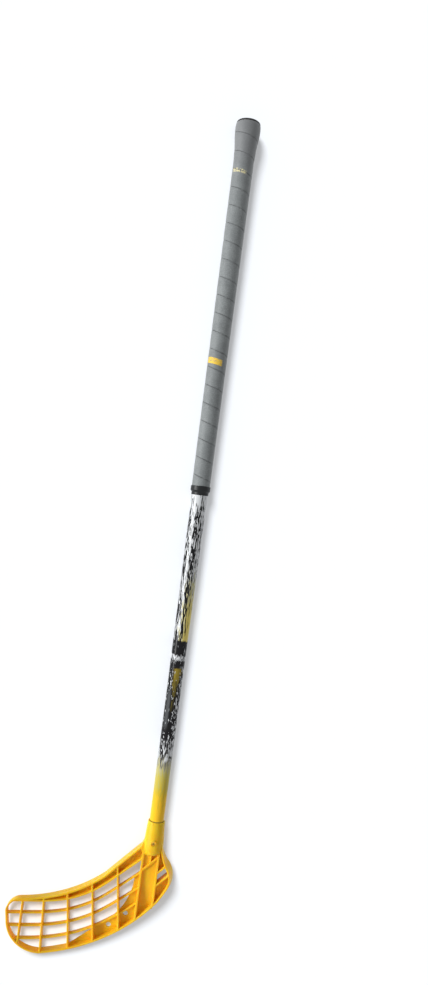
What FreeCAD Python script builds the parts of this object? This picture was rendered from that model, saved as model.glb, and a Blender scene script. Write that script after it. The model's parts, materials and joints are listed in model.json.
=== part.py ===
import FreeCAD, Part
import math
import os

import Sketcher

# Floorball stick: a hollow tapered shaft, a wound grip with its closing band, a flared butt knob, and a
# hooked plastic blade that is pushed over the shaft's tip and held by two screws.
# Every piece is drawn in the stick's own frame: Y runs up the shaft from the mouth of the blade's socket,
# the toe points to -X and the hollow face of the blade looks to +Z. One placement then lays the stick down.

# Driving dimensions in millimetres (angles in degrees): alias, value, meaning.
SIZES = [
    ("shaft_tip_radius", 9.45, "outside radius of the straight lower stretch"),
    ("shaft_neck_radius", 10.6, "outside radius where the grip begins"),
    ("shaft_top_radius", 12.2, "outside radius at the top end"),
    ("shaft_wall", 1.2, "wall of the composite tube"),
    ("shaft_insertion", 41.5, "length inside the blade's socket"),
    ("shaft_straight", 178, "height of the straight stretch above the socket mouth"),
    ("shaft_top", 914, "height of the top end above the socket mouth"),
    ("grip_bottom", 440.3, "height of the grip's lower end"),
    ("grip_top", 929, "height of the grip's upper end"),
    ("grip_thickness", 1.35, "thickness of the grip strip"),
    ("grip_gap", 0.6, "gap between neighbouring turns"),
    ("grip_turns", 20, "turns until the lower edge reaches the grip's end"),
    ("grip_phase", 0.28, "part of a turn by which the strip starts before the front"),
    ("layer_clearance", 0.15, "air under the grip strip and the closing band"),
    ("band_bottom", 434.4, "lower end of the closing band"),
    ("band_top", 446.4, "upper end of the closing band"),
    ("band_thickness", 0.5, "thickness of the closing band"),
    ("knob_skirt", 890, "height where the knob's flare begins"),
    ("knob_skirt_radius", 12.75, "outside radius where the flare begins"),
    ("knob_radius", 15.3, "outside radius at the top of the flare"),
    ("knob_stem", 860, "lower end of the stem inside the tube"),
    ("stem_bore", 8.6, "radius of the hollow in the stem"),
    ("stem_roof", 905, "upper end of that hollow"),
    ("cap_radius", 15.9, "radius of the knob's end disc"),
    ("cap_height", 3.2, "thickness of the knob's end disc"),
    ("cap_round", 2.8, "rounding of the end disc's rim"),
    ("push_clearance", 0.1, "radial clearance of the plug and of the socket"),
    ("collar_radius", 11.2, "outside radius at the socket mouth"),
    ("collar_height", 30, "height over which the socket widens from there"),
    ("hosel_radius", 13.2, "outside radius of the socket"),
    ("hosel_shoulder", 36, "depth where the socket's round end begins"),
    ("hosel_turn_radius", 10.8, "radius where the round end turns in"),
    ("hosel_turn", 42.8, "depth where the round end turns in"),
    ("hosel_end", 44, "depth of the socket's round end"),
    ("mouth_chamfer", 0.9, "bevel round the socket mouth"),
    ("front_boss_depth", 26, "depth of the front screw below the mouth"),
    ("rear_boss_depth", 12, "depth of the rear screw below the mouth"),
    ("boss_radius", 3.75, "radius of the screw bosses"),
    ("boss_height", 14.2, "end of the bosses, from the shaft axis"),
    ("head_seat", 12, "seat of the screw heads, from the shaft axis"),
    ("head_radius", 2.9, "radius of the screw heads"),
    ("head_height", 1.9, "thickness of the screw heads"),
    ("screw_radius", 1.7, "radius of the screw shanks"),
    ("screw_tip", 5.6, "end of the screws, from the shaft axis"),
    ("screw_clearance", 0.1, "radial running clearance of the screws"),
    ("head_clearance", 0.3, "radial room round the screw heads"),
    ("recess_span", 3.4, "span of the cross recess"),
    ("recess_width", 0.8, "width of the cross recess"),
    ("recess_depth", 1.1, "depth of the cross recess"),
    ("blade_half_depth", 7.5, "half the blade's depth at the heel"),
    ("hook_front_radius", 715, "hook radius of the blade's hollow face"),
    ("hook_back_radius", 560, "hook radius of the blade's back"),
    ("hook_middle_radius", 636, "hook radius of the blade's middle surface"),
    ("hook_reach", 190, "sideways reach of the hook"),
    ("heel_reach", 40, "sideways reach of the flat heel"),
    ("blade_block", 120, "height of the blanks that the blade is cut from"),
    ("rim_width", 2.4, "width of the blade's rim"),
    ("rib_width", 2.2, "width of the ribs and slats"),
    ("heel_rib_width", 3, "width of the two strong ribs at the heel"),
    ("slat_half_depth", 3, "half the depth of the slats"),
    ("web_half_depth", 1.2, "half the depth of the closed web"),
    ("web_drop", 3.2, "distance of the closed web behind the blade's middle surface"),
    ("slat_spacing", 0.2425, "distance between slats, as a share of the open height"),
    ("neck_top_x", -12.3, "outline: hollow beside the socket begins"),
    ("neck_top_y", -24.1, "outline: hollow beside the socket begins"),
    ("neck_radius", 16, "outline: hollow beside the socket"),
    ("neck_x", -17.2, "outline: straight upper edge begins"),
    ("neck_y", -35.6, "outline: straight upper edge begins"),
    ("throat_x", -58, "outline: straight upper edge ends"),
    ("throat_y", -77.5, "outline: straight upper edge ends"),
    ("throat_radius", 160, "outline: hollow upper edge"),
    ("toe_top_x", -162, "outline: toe corner begins"),
    ("toe_top_y", -112.8, "outline: toe corner begins"),
    ("toe_top_radius", 16, "outline: upper toe corner"),
    ("toe_x", -178, "outline: tip of the toe"),
    ("toe_y", -128.8, "outline: tip of the toe"),
    ("toe_low_x", -176, "outline: lower toe corner begins"),
    ("toe_low_y", -142, "outline: lower toe corner begins"),
    ("toe_low_radius", 48.6, "outline: lower toe corner"),
    ("sole_x", -130, "outline: sole begins"),
    ("sole_y", -184.6, "outline: sole begins"),
    ("sole_radius", 210, "outline: curved sole"),
    ("heel_low_x", 18.9, "outline: heel begins"),
    ("heel_low_y", -100, "outline: heel begins"),
    ("heel_radius", 32, "outline: round heel"),
    ("heel_top_x", 23.2, "outline: heel ends"),
    ("heel_top_y", -54.2, "outline: heel ends"),
    ("nape_radius", 45, "outline: hollow above the heel"),
    ("nape_x", 12.5, "outline: hollow above the heel meets the socket"),
    ("nape_y", -34, "outline: hollow above the heel meets the socket"),
    ("ridge_x", 11.6, "outline: end of the rim in the socket's flank"),
    ("ridge_y", -30, "outline: end of the rim in the socket's flank"),
    ("ridge_end_y", -27, "outline: end of the rim on the shaft line"),
    ("wall_top_y", -33, "upper end of the strong rib and of the short rib under the socket"),
    ("strut_top_y", -43.2, "upper end of the strong rib on the heel side"),
    ("spar_x", -11.6, "strong rib on the toe side of the shaft line"),
    ("strut_x", 9, "strong rib on the heel side of the shaft line"),
    ("top_slat_y", -49.8, "height of the top slat at the strong rib"),
    ("top_slat_bend_x", -50, "place where the top slat's straight stretch ends"),
    ("top_slat_bend_y", -83.5, "height there"),
    ("top_slat_flat_x", -148, "place where the top slat runs level"),
    ("top_slat_flat_y", -116, "height there"),
    ("web_toe_x", -96, "closed web: toe end below the sole"),
    ("web_toe_y", -176, "closed web: toe end below the sole"),
    ("web_bend_x", -48, "closed web: straight edge ends"),
    ("web_bend_y", -139.5, "closed web: straight edge ends"),
    ("web_high_x", -19.5, "closed web: curved edge ends"),
    ("web_high_y", -78, "closed web: curved edge ends"),
    ("web_top_y", -70, "closed web: upper end at the strong rib"),
    ("web_edge_radius", 75.3, "closed web: curved edge"),
    ("vent_radius", 3.3, "round holes in the web"),
    ("toe_vent_x", -45.5, "round hole nearer the toe"),
    ("toe_vent_y", -145.7, "round hole nearer the toe"),
    ("heel_vent_x", -25.2, "round hole nearer the heel"),
    ("heel_vent_y", -128.6, "round hole nearer the heel"),
    ("rib_level", -130, "height at which the ribs' places are given"),
    ("brace_low_y", -66.1, "diagonal brace: lower end"),
    ("brace_high_y", -46, "diagonal brace: upper end"),
    ("gusset_low_y", -43, "gusset beside the socket: lower end at the strong rib"),
    ("gusset_x", -4, "gusset beside the socket: its end inside the socket"),
    ("gusset_end_y", -45.4, "gusset beside the socket: lower end there"),
    ("strut_web_x", -1, "short rib under the socket"),
    ("strut_web_end", -56, "lower end of that rib"),
    ("heel_slat_high_y", -67.7, "upper heel slat at the strong rib"),
    ("heel_slat_low_y", -84.4, "lower heel slat at the strong rib"),
    ("heel_slat_angle", 45, "slope of the heel slats"),
    ("heel_slat_length", 40, "length of the heel slats before trimming"),
    ("core_top_y", -44, "thick core below the socket: upper end"),
    ("core_bend_y", -84, "thick core: end of the gentle slope"),
    ("core_end_y", -119, "thick core: lower end"),
    ("core_top_depth", 4.8, "thick core: front at the upper end"),
    ("core_bend_depth", 3.6, "thick core: front at the bend"),
]

# Upright ribs between the toe and the strong rib: place at the rib level and lean from the shaft line.
RIBS = [
    ("toe_rib", -158.2, 0),
    ("second_rib", -131.2, 2.5),
    ("middle_rib", -99.6, 7),
    ("fourth_rib", -67.4, 7.5),
    ("heel_rib", -33.9, 7.7),
]

SLATS = 4
SLAT_STATIONS = 9
QUARTER_TURNS_PER_TURN = 4
START_QUARTERS = 2

X_AXIS = FreeCAD.Vector(1, 0, 0)
Y_AXIS = FreeCAD.Vector(0, 1, 0)
Z_AXIS = FreeCAD.Vector(0, 0, 1)


def make_sheet(doc):
    """Puts every driving dimension into a named cell."""
    sheet = doc.addObject("Spreadsheet::Sheet", "sizes")
    rows = SIZES + [(name + "_x", place, "place of the " + name) for name, place, _ in RIBS]
    rows += [(name + "_lean", lean, "lean of the " + name) for name, _, lean in RIBS]
    for row, (alias, value, meaning) in enumerate(rows, start=1):
        sheet.set(f"A{row}", meaning)
        sheet.set(f"B{row}", str(value))
        sheet.setAlias(f"B{row}", alias)
    doc.recompute()
    return sheet


def origin_plane(body, role):
    return next(plane for plane in body.Origin.OriginFeatures if plane.Role == role)


def body_sketch(body, name, role):
    sketch = body.newObject("Sketcher::SketchObject", name)
    sketch.AttachmentSupport = [(origin_plane(body, role), "")]
    sketch.MapMode = "FlatFace"
    return sketch


def value_of(sheet, text):
    """The number that an expression over the sheet's cells gives."""
    return float(sheet.evalExpression(text))


def arc_centre(start, end, radius, turns_left):
    """Centre of the arc of that radius from start to end, on the left or right of the way along."""
    chord = end - start
    half = chord.Length / 2
    left = FreeCAD.Vector(-chord.y, chord.x, 0).normalize()
    rise = math.sqrt(radius * radius - half * half)
    return start + chord * 0.5 + left * (rise if turns_left else -rise)


def draw_loop(sketch, sheet, corners):
    """Closed loop of lines and arcs, whose coordinates and radii are all bound to the sheet.

    A corner is (x, y) after a line, or (x, y, radius, turns_left) after an arc."""
    spots = [FreeCAD.Vector(value_of(sheet, c[0]), value_of(sheet, c[1]), 0) for c in corners]
    ends = []
    for index, corner in enumerate(corners):
        start, end = spots[index - 1], spots[index]
        if len(corner) == 2:
            edge = sketch.addGeometry(Part.LineSegment(start, end))
            ends.append((edge, 1, 2))
            continue
        centre = arc_centre(start, end, value_of(sheet, corner[2]), corner[3])
        first, last = (start, end) if corner[3] else (end, start)
        angles = [math.atan2(p.y - centre.y, p.x - centre.x) for p in (first, last)]
        circle = Part.Circle(centre, Z_AXIS, (start - centre).Length)
        edge = sketch.addGeometry(Part.ArcOfCircle(circle, angles[0], angles[1]))
        ends.append((edge, 1, 2) if corner[3] else (edge, 2, 1))
    for index, corner in enumerate(corners):
        edge, _, tail = ends[index]
        next_edge, head, _ = ends[(index + 1) % len(ends)]
        sketch.addConstraint(Sketcher.Constraint("Coincident", edge, tail, next_edge, head))
        for kind, axis, text, place in (("DistanceX", -2, corner[0], spots[index].x),
                                        ("DistanceY", -1, corner[1], spots[index].y)):
            if text == "0":
                sketch.addConstraint(Sketcher.Constraint("PointOnObject", edge, tail, axis))
                continue
            bound = sketch.addConstraint(Sketcher.Constraint(kind, -1, 1, edge, tail, place))
            sketch.setExpression(f"Constraints[{bound}]", text)
        if len(corner) == 4:
            bound = sketch.addConstraint(Sketcher.Constraint("Radius", edge, value_of(sheet, corner[2])))
            sketch.setExpression(f"Constraints[{bound}]", corner[2])


def turned_body(doc, sheet, label, corners, role="XY_Plane"):
    """Body made by turning a closed profile about the sketch's upright axis."""
    body = doc.addObject("PartDesign::Body", label)
    sketch = body_sketch(body, label + "_profile", role)
    draw_loop(sketch, sheet, corners)
    turn = body.newObject("PartDesign::Revolution", label + "_turn")
    turn.Profile = sketch
    turn.ReferenceAxis = (sketch, ["V_Axis"])
    turn.Angle = 360
    doc.recompute()
    return body


def make_shaft(doc, sheet):
    """Hollow tapered tube with a clearance hole for each screw in its own wall."""
    body = turned_body(doc, sheet, "shaft", [
        ("sizes.shaft_tip_radius", "-sizes.shaft_insertion"),
        ("sizes.shaft_tip_radius", "sizes.shaft_straight"),
        ("sizes.shaft_neck_radius", "sizes.grip_bottom"),
        ("sizes.shaft_top_radius", "sizes.shaft_top"),
        ("sizes.shaft_top_radius - sizes.shaft_wall", "sizes.shaft_top"),
        ("sizes.shaft_neck_radius - sizes.shaft_wall", "sizes.grip_bottom"),
        ("sizes.shaft_tip_radius - sizes.shaft_wall", "sizes.shaft_straight"),
        ("sizes.shaft_tip_radius - sizes.shaft_wall", "-sizes.shaft_insertion"),
    ])
    for side, reversed_way in (("front", True), ("rear", False)):
        before = body.Shape.Volume
        sketch = body_sketch(body, side + "_hole_circle", "XY_Plane")
        circle = sketch.addGeometry(Part.Circle(FreeCAD.Vector(0, -1, 0), Z_AXIS, 1))
        sketch.addConstraint(Sketcher.Constraint("PointOnObject", circle, 3, -2))
        depth = sketch.addConstraint(Sketcher.Constraint("DistanceY", circle, 3, -1, 1, 1))
        sketch.setExpression(f"Constraints[{depth}]", f"sizes.{side}_boss_depth")
        radius = sketch.addConstraint(Sketcher.Constraint("Radius", circle, 1))
        sketch.setExpression(f"Constraints[{radius}]", "sizes.screw_radius + sizes.screw_clearance")
        hole = body.newObject("PartDesign::Pocket", side + "_hole")
        hole.Profile = sketch
        hole.Type = "ThroughAll"
        hole.Reversed = reversed_way
        doc.recompute()
        if body.Shape.Volume >= before:
            raise ValueError(side + " screw hole cuts nothing")
    return body


def make_end_knob(doc, sheet):
    """Butt plug: a hollow stem inside the tube, a flared skirt outside it and an end disc."""
    bore = "(sizes.shaft_top_radius - sizes.shaft_wall - sizes.push_clearance)"
    stem = "(sizes.shaft_neck_radius - sizes.shaft_wall - sizes.push_clearance + " \
           "(sizes.shaft_top_radius - sizes.shaft_neck_radius) * (sizes.knob_stem - sizes.grip_bottom) / " \
           "(sizes.shaft_top - sizes.grip_bottom))"
    return turned_body(doc, sheet, "end_knob", [
        ("sizes.stem_bore", "sizes.stem_roof"),
        ("sizes.stem_bore", "sizes.knob_stem"),
        (stem, "sizes.knob_stem"),
        (bore, "sizes.shaft_top + sizes.push_clearance"),
        ("sizes.shaft_top_radius + sizes.push_clearance", "sizes.shaft_top + sizes.push_clearance"),
        ("sizes.shaft_top_radius + sizes.push_clearance", "sizes.knob_skirt"),
        ("sizes.knob_skirt_radius", "sizes.knob_skirt"),
        ("sizes.knob_radius", "sizes.grip_top"),
        ("sizes.knob_radius", "sizes.grip_top + sizes.push_clearance"),
        ("sizes.cap_radius", "sizes.grip_top + sizes.push_clearance"),
        ("sizes.cap_radius", "sizes.grip_top + sizes.cap_height - sizes.cap_round"),
        ("sizes.cap_radius - sizes.cap_round", "sizes.grip_top + sizes.cap_height", "sizes.cap_round", True),
        ("0", "sizes.grip_top + sizes.cap_height"),
        ("0", "sizes.stem_roof"),
    ])


def make_finishing_tape(doc, sheet):
    """Black band that steps down from the end of the grip onto the bare shaft."""
    shaft_here = "(sizes.shaft_neck_radius + sizes.layer_clearance)"
    grip_here = "(sizes.shaft_neck_radius + sizes.grip_thickness + 3 * sizes.layer_clearance)"
    step_low = "(sizes.grip_bottom - 2 * sizes.band_thickness)"
    return turned_body(doc, sheet, "finishing_tape", [
        (shaft_here, "sizes.band_bottom"),
        (shaft_here + " + sizes.band_thickness", "sizes.band_bottom"),
        (shaft_here + " + sizes.band_thickness", step_low),
        (grip_here + " + sizes.band_thickness", "sizes.grip_bottom"),
        (grip_here + " + sizes.band_thickness", "sizes.band_top"),
        (grip_here, "sizes.band_top"),
        (grip_here, "sizes.grip_bottom - sizes.layer_clearance"),
        (shaft_here, "sizes.grip_bottom - sizes.layer_clearance"),
    ])


def make_screw(doc, sheet, label):
    """Pan-head screw about Z, drawn at its real height above the shaft axis, with a cross recess."""
    body = turned_body(doc, sheet, label, [
        ("0", "sizes.screw_tip"),
        ("sizes.screw_radius", "sizes.screw_tip + sizes.screw_radius"),
        ("sizes.screw_radius", "sizes.head_seat + sizes.push_clearance"),
        ("sizes.head_radius", "sizes.head_seat + sizes.push_clearance"),
        ("sizes.head_radius", "sizes.head_seat + sizes.head_height / 2"),
        ("sizes.head_radius - sizes.head_height / 2", "sizes.head_seat + sizes.head_height"),
        ("0", "sizes.head_seat + sizes.head_height"),
    ], role="XZ_Plane")
    before = body.Shape.Volume
    sketch = body_sketch(body, label + "_cross", "XY_Plane")
    sketch.AttachmentOffset = FreeCAD.Placement(FreeCAD.Vector(0, 0, 0), FreeCAD.Rotation())
    sketch.setExpression("AttachmentOffset.Base.z", "sizes.head_seat + sizes.head_height")
    long_half, short_half = "sizes.recess_span / 2", "sizes.recess_width / 2"
    quarter = [(long_half, short_half), (short_half, short_half), (short_half, long_half)]
    cross = [(x, y) for x, y in quarter]
    cross += [(f"-{x}", y) for x, y in reversed(quarter)]
    cross += [(f"-{x}", f"-{y}") for x, y in quarter]
    cross += [(x, f"-{y}") for x, y in reversed(quarter)]
    draw_loop(sketch, sheet, cross)
    recess = body.newObject("PartDesign::Pocket", label + "_recess")
    recess.Profile = sketch
    recess.setExpression("Length", "sizes.recess_depth")
    doc.recompute()
    if body.Shape.Volume >= before:
        raise ValueError(label + " recess cuts nothing")
    return body


class GripRoute:
    """Edges and radii of the wound grip strip, as functions of the turn number."""

    def __init__(self, sheet):
        self.top, self.bottom = sheet.grip_top, sheet.grip_bottom
        self.turns, self.gap = int(sheet.grip_turns), sheet.grip_gap
        start_share = START_QUARTERS / QUARTER_TURNS_PER_TURN
        self.pitch = (self.top - self.bottom + self.gap) / (self.turns + 1 - start_share)
        self.width = self.pitch - self.gap
        self.start_width = self.width - start_share * self.pitch
        self.total_quarters = self.turns * QUARTER_TURNS_PER_TURN + START_QUARTERS
        widening = sheet.shaft_top_radius - sheet.shaft_neck_radius
        flare = sheet.knob_radius - sheet.knob_skirt_radius
        self.shaft_slope = widening / (sheet.shaft_top - self.bottom)
        self.skirt_slope = flare / (self.top - sheet.knob_skirt)
        self.sheet = sheet

    def lower(self, turn):
        return max(self.bottom, self.top - self.start_width - self.pitch * turn)

    def upper(self, turn):
        return min(self.top, self.top - self.start_width - self.pitch * turn + self.width)

    def inner_radius(self, height):
        shaft = self.sheet.shaft_neck_radius + self.shaft_slope * (height - self.bottom)
        skirt = self.sheet.knob_radius - self.skirt_slope * (self.top - height)
        return max(shaft, skirt) + self.sheet.layer_clearance

    def corner(self, turn, edge, outside):
        height = edge(turn)
        radius = self.inner_radius(height) + (self.sheet.grip_thickness if outside else 0)
        angle = 2 * math.pi * (turn - self.sheet.grip_phase)
        return FreeCAD.Vector(radius * math.sin(angle), height, radius * math.cos(angle))

    def least_gap(self):
        """Least distance between an edge and the next turn's edge, on points along the strip."""
        samples = self.total_quarters * QUARTER_TURNS_PER_TURN
        turns = [k * self.total_quarters / QUARTER_TURNS_PER_TURN / samples for k in range(samples + 1)]
        pairs = [t for t in turns if t + 1 <= turns[-1]]
        gaps = [self.corner(t, self.lower, True) - self.corner(t + 1, self.upper, True) for t in pairs]
        return min(gap.Length for gap in gaps)


def make_grip_tape(doc, sheet):
    """One unbroken strip, wound down the shaft. Each quarter turn has four ruled sides between arcs."""
    route = GripRoute(sheet)
    lines = {(edge, side): [] for edge in ("lower", "upper") for side in ("inside", "outside")}
    for quarter in range(route.total_quarters):
        turns = [(quarter + share) / QUARTER_TURNS_PER_TURN for share in (0, 0.5, 1)]
        for edge, side in lines:
            spots = [route.corner(t, getattr(route, edge), side == "outside") for t in turns]
            lines[edge, side].append(Part.Arc(*spots).toShape())
    faces = []
    for side in ("inside", "outside"):
        faces += [Part.makeRuledSurface(a, b) for a, b in zip(lines["lower", side], lines["upper", side])]
    for edge in ("lower", "upper"):
        faces += [Part.makeRuledSurface(a, b) for a, b in zip(lines[edge, "inside"], lines[edge, "outside"])]
    for turn in (0, route.total_quarters / QUARTER_TURNS_PER_TURN):
        rim = [route.corner(turn, route.lower, False), route.corner(turn, route.lower, True),
               route.corner(turn, route.upper, True), route.corner(turn, route.upper, False)]
        faces.append(Part.Face(Part.makePolygon(rim + rim[:1])))
    shell = Part.Shell(faces)
    shell.sewShape()
    solid = Part.Solid(shell)
    if solid.Volume < 0:
        solid.reverse()
    tape = doc.addObject("Part::Feature", "grip_tape")
    tape.Shape = solid
    print(f"grip strip: {route.total_quarters / QUARTER_TURNS_PER_TURN} turns, pitch {route.pitch:.2f} mm, "
          f"least gap to itself {route.least_gap():.2f} mm")
    return tape


def curved_slab(doc, sheet, label, half_depth, front_radius, back_radius):
    """Slab that follows the hook: flat at the heel, curved towards the toe, as deep as twice half_depth."""
    body = doc.addObject("PartDesign::Body", label)
    sketch = body_sketch(body, label + "_section", "XZ_Plane")
    reach = "sizes.hook_reach"
    front_end = f"{half_depth} + {front_radius} - sqrt({front_radius} ^ 2 - {reach} ^ 2)"
    back_end = f"-({half_depth}) + {back_radius} - sqrt({back_radius} ^ 2 - {reach} ^ 2)"
    draw_loop(sketch, sheet, [
        ("sizes.heel_reach", f"-({half_depth})"),
        ("sizes.heel_reach", half_depth),
        ("0", half_depth),
        ("-sizes.hook_reach", front_end, front_radius, False),
        ("-sizes.hook_reach", back_end),
        ("0", f"-({half_depth})", back_radius, True),
    ])
    pad = body.newObject("PartDesign::Pad", label + "_pad")
    pad.Profile = sketch
    pad.SideType = "Symmetric"
    pad.setExpression("Length", "4 * sizes.blade_block")
    doc.recompute()
    return body


def upright_prism(doc, label, base):
    """Prism of a plane outline, standing equally above and below the blade's middle plane."""
    prism = doc.addObject("Part::Extrusion", label)
    prism.Base = base
    prism.DirMode = "Custom"
    prism.Dir = Z_AXIS
    prism.Solid = True
    prism.Symmetric = True
    prism.setExpression("LengthFwd", "sizes.blade_block")
    return prism


def rib_block(doc, sheet, label, start, end, width):
    """Upright wall along a straight line in the blade's plane, as wide as the named size."""
    wall = doc.addObject("Part::Box", label)
    wall.Length = (end - start).Length
    wall.setExpression("Width", "sizes." + width)
    wall.setExpression("Height", "sizes.blade_block")
    turn = FreeCAD.Rotation(X_AXIS, end - start)
    half = FreeCAD.Vector(0, -sheet.get(width) / 2, -sheet.blade_block / 2)
    wall.Placement = FreeCAD.Placement(start + turn.multVec(half), turn)
    return wall


class SlatLines:
    """Heights of the top slat and of the sole, and of the evenly spaced slats between them."""

    def __init__(self, sheet):
        self.sheet = sheet
        bend = FreeCAD.Vector(sheet.top_slat_bend_x, sheet.top_slat_bend_y, 0)
        self.level = FreeCAD.Vector(sheet.top_slat_flat_x, sheet.top_slat_flat_y, 0)
        self.slope = (sheet.top_slat_y - bend.y) / (sheet.spar_x - bend.x)
        self.bend = bend
        self.drop = bend.y - self.level.y
        self.run = bend.x - self.level.x
        sole_start = FreeCAD.Vector(sheet.sole_x, sheet.sole_y, 0)
        sole_end = FreeCAD.Vector(sheet.heel_low_x, sheet.heel_low_y, 0)
        self.sole_centre = arc_centre(sole_start, sole_end, sheet.sole_radius, True)

    def top(self, x):
        """Straight near the socket, then easing out to level as a power curve with the same slope."""
        if x >= self.bend.x:
            return self.bend.y + self.slope * (x - self.bend.x)
        share = max(0.0, (x - self.level.x) / self.run)
        return self.level.y + self.drop * share ** (self.slope * self.run / self.drop)

    def sole(self, x):
        return self.sole_centre.y - math.sqrt(self.sheet.sole_radius ** 2 - (x - self.sole_centre.x) ** 2)

    def height(self, x, share):
        return self.top(x) + share * (self.sole(x) - self.top(x))

    def curve(self, share, lift):
        """Smooth line from the toe to the strong rib, at a share of the way from the top slat to the sole."""
        start, end = self.sheet.toe_x, self.sheet.spar_x
        stations = [start + (end - start) * k / (SLAT_STATIONS - 1) for k in range(SLAT_STATIONS)]
        line = Part.BSplineCurve()
        line.interpolate([FreeCAD.Vector(x, self.height(x, share) + lift, 0) for x in stations])
        return line.toShape()


def strip_face(lines, share, width):
    """Flat strip of the given width along a slat line."""
    return Part.makeRuledSurface(lines.curve(share, -width / 2), lines.curve(share, width / 2))


def flat_feature(doc, label, face):
    feature = doc.addObject("Part::Feature", label)
    feature.Shape = face
    return feature


def joined(doc, kind, label, shapes):
    result = doc.addObject(kind, label)
    result.Shapes = shapes
    return result


def cut_away(doc, label, base, tool):
    result = doc.addObject("Part::Cut", label)
    result.Base = base
    result.Tool = tool
    return result


def blade_outline(doc, sheet):
    sketch = doc.addObject("Sketcher::SketchObject", "blade_outline")
    draw_loop(sketch, sheet, [
        ("sizes.neck_top_x", "sizes.neck_top_y"),
        ("sizes.neck_x", "sizes.neck_y", "sizes.neck_radius", False),
        ("sizes.throat_x", "sizes.throat_y"),
        ("sizes.toe_top_x", "sizes.toe_top_y", "sizes.throat_radius", False),
        ("sizes.toe_x", "sizes.toe_y", "sizes.toe_top_radius", True),
        ("sizes.toe_low_x", "sizes.toe_low_y"),
        ("sizes.sole_x", "sizes.sole_y", "sizes.toe_low_radius", True),
        ("sizes.heel_low_x", "sizes.heel_low_y", "sizes.sole_radius", True),
        ("sizes.heel_top_x", "sizes.heel_top_y", "sizes.heel_radius", True),
        ("sizes.nape_x", "sizes.nape_y", "sizes.nape_radius", False),
        ("sizes.ridge_x", "sizes.ridge_y"),
        ("0", "sizes.ridge_end_y"),
    ])
    return sketch


def make_walls(doc, sheet):
    """The upright walls of the blade: every rib, brace and heel slat."""
    def spot(x, y):
        return FreeCAD.Vector(x, y, 0)

    level, block = sheet.rib_level, sheet.blade_block
    walls = []
    for name, _, _ in RIBS:
        middle = spot(sheet.get(name + "_x"), level)
        lean = math.radians(sheet.get(name + "_lean"))
        reach = spot(-math.sin(lean), math.cos(lean)) * block
        walls.append(rib_block(doc, sheet, name, middle - reach, middle + reach, "rib_width"))
    spar_top, spar_end = spot(sheet.spar_x, sheet.wall_top_y), spot(sheet.spar_x, -2 * block)
    walls.append(rib_block(doc, sheet, "spar", spar_end, spar_top, "heel_rib_width"))
    strut_top, strut_end = spot(sheet.strut_x, sheet.strut_top_y), spot(sheet.strut_x, -2 * block)
    walls.append(rib_block(doc, sheet, "strut", strut_end, strut_top, "heel_rib_width"))
    brace_low, brace_high = spot(sheet.spar_x, sheet.brace_low_y), spot(sheet.strut_x, sheet.brace_high_y)
    walls.append(rib_block(doc, sheet, "brace", brace_low, brace_high, "heel_rib_width"))
    stay_top, stay_end = spot(sheet.strut_web_x, sheet.wall_top_y), spot(sheet.strut_web_x, sheet.strut_web_end)
    walls.append(rib_block(doc, sheet, "stay", stay_end, stay_top, "rib_width"))
    slope = math.radians(sheet.heel_slat_angle)
    run = spot(math.cos(slope), math.sin(slope)) * sheet.heel_slat_length
    for name in ("heel_slat_high", "heel_slat_low"):
        start = spot(sheet.strut_x, sheet.get(name + "_y"))
        walls.append(rib_block(doc, sheet, name, start, start + run, "rib_width"))
    return walls


def gusset(sheet):
    """Face between the upper rim, the strong rib and the socket."""
    corners = [(sheet.gusset_x, sheet.neck_top_y), (2 * sheet.spar_x, sheet.neck_y),
               (sheet.spar_x, sheet.gusset_low_y), (sheet.gusset_x, sheet.gusset_end_y)]
    spots = [FreeCAD.Vector(x, y, 0) for x, y in corners]
    return Part.Face(Part.makePolygon(spots + spots[:1]))


def open_area(sheet, lines):
    """Face of the open lattice: below the top slat and on the toe side of the closed web."""
    top = lines.curve(0, 0)
    toe_end, spar_end = top.Vertexes[0].Point, top.Vertexes[-1].Point
    web_start = FreeCAD.Vector(sheet.web_toe_x, sheet.web_toe_y, 0)
    web_bend = FreeCAD.Vector(sheet.web_bend_x, sheet.web_bend_y, 0)
    web_high = FreeCAD.Vector(sheet.web_high_x, sheet.web_high_y, 0)
    web_end = FreeCAD.Vector(sheet.spar_x, sheet.web_top_y, 0)
    centre = arc_centre(web_bend, web_high, sheet.web_edge_radius, True)
    middle = (web_bend + web_high) * 0.5 - centre
    arc_middle = centre + middle.normalize() * sheet.web_edge_radius
    below = FreeCAD.Vector(0, -sheet.blade_block, 0)
    toe_side = [toe_end, toe_end + below, web_start + below, web_start, web_bend]
    spar_side = [web_high, web_end, spar_end]
    edges = [Part.makeLine(a, b) for side in (toe_side, spar_side) for a, b in zip(side, side[1:])]
    edges.append(Part.Arc(web_bend, arc_middle, web_high).toShape())
    return Part.Face(Part.Wire(Part.__sortEdges__(edges + [top])))


def heel_window(sheet):
    """Face of the through opening between the two heel slats."""
    slope = math.radians(sheet.heel_slat_angle)
    run = FreeCAD.Vector(math.cos(slope), math.sin(slope), 0) * sheet.heel_slat_length
    low = FreeCAD.Vector(sheet.strut_x, sheet.heel_slat_low_y, 0)
    high = FreeCAD.Vector(sheet.strut_x, sheet.heel_slat_high_y, 0)
    return Part.Face(Part.makePolygon([low, low + run, high + run, high, low]))


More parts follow.
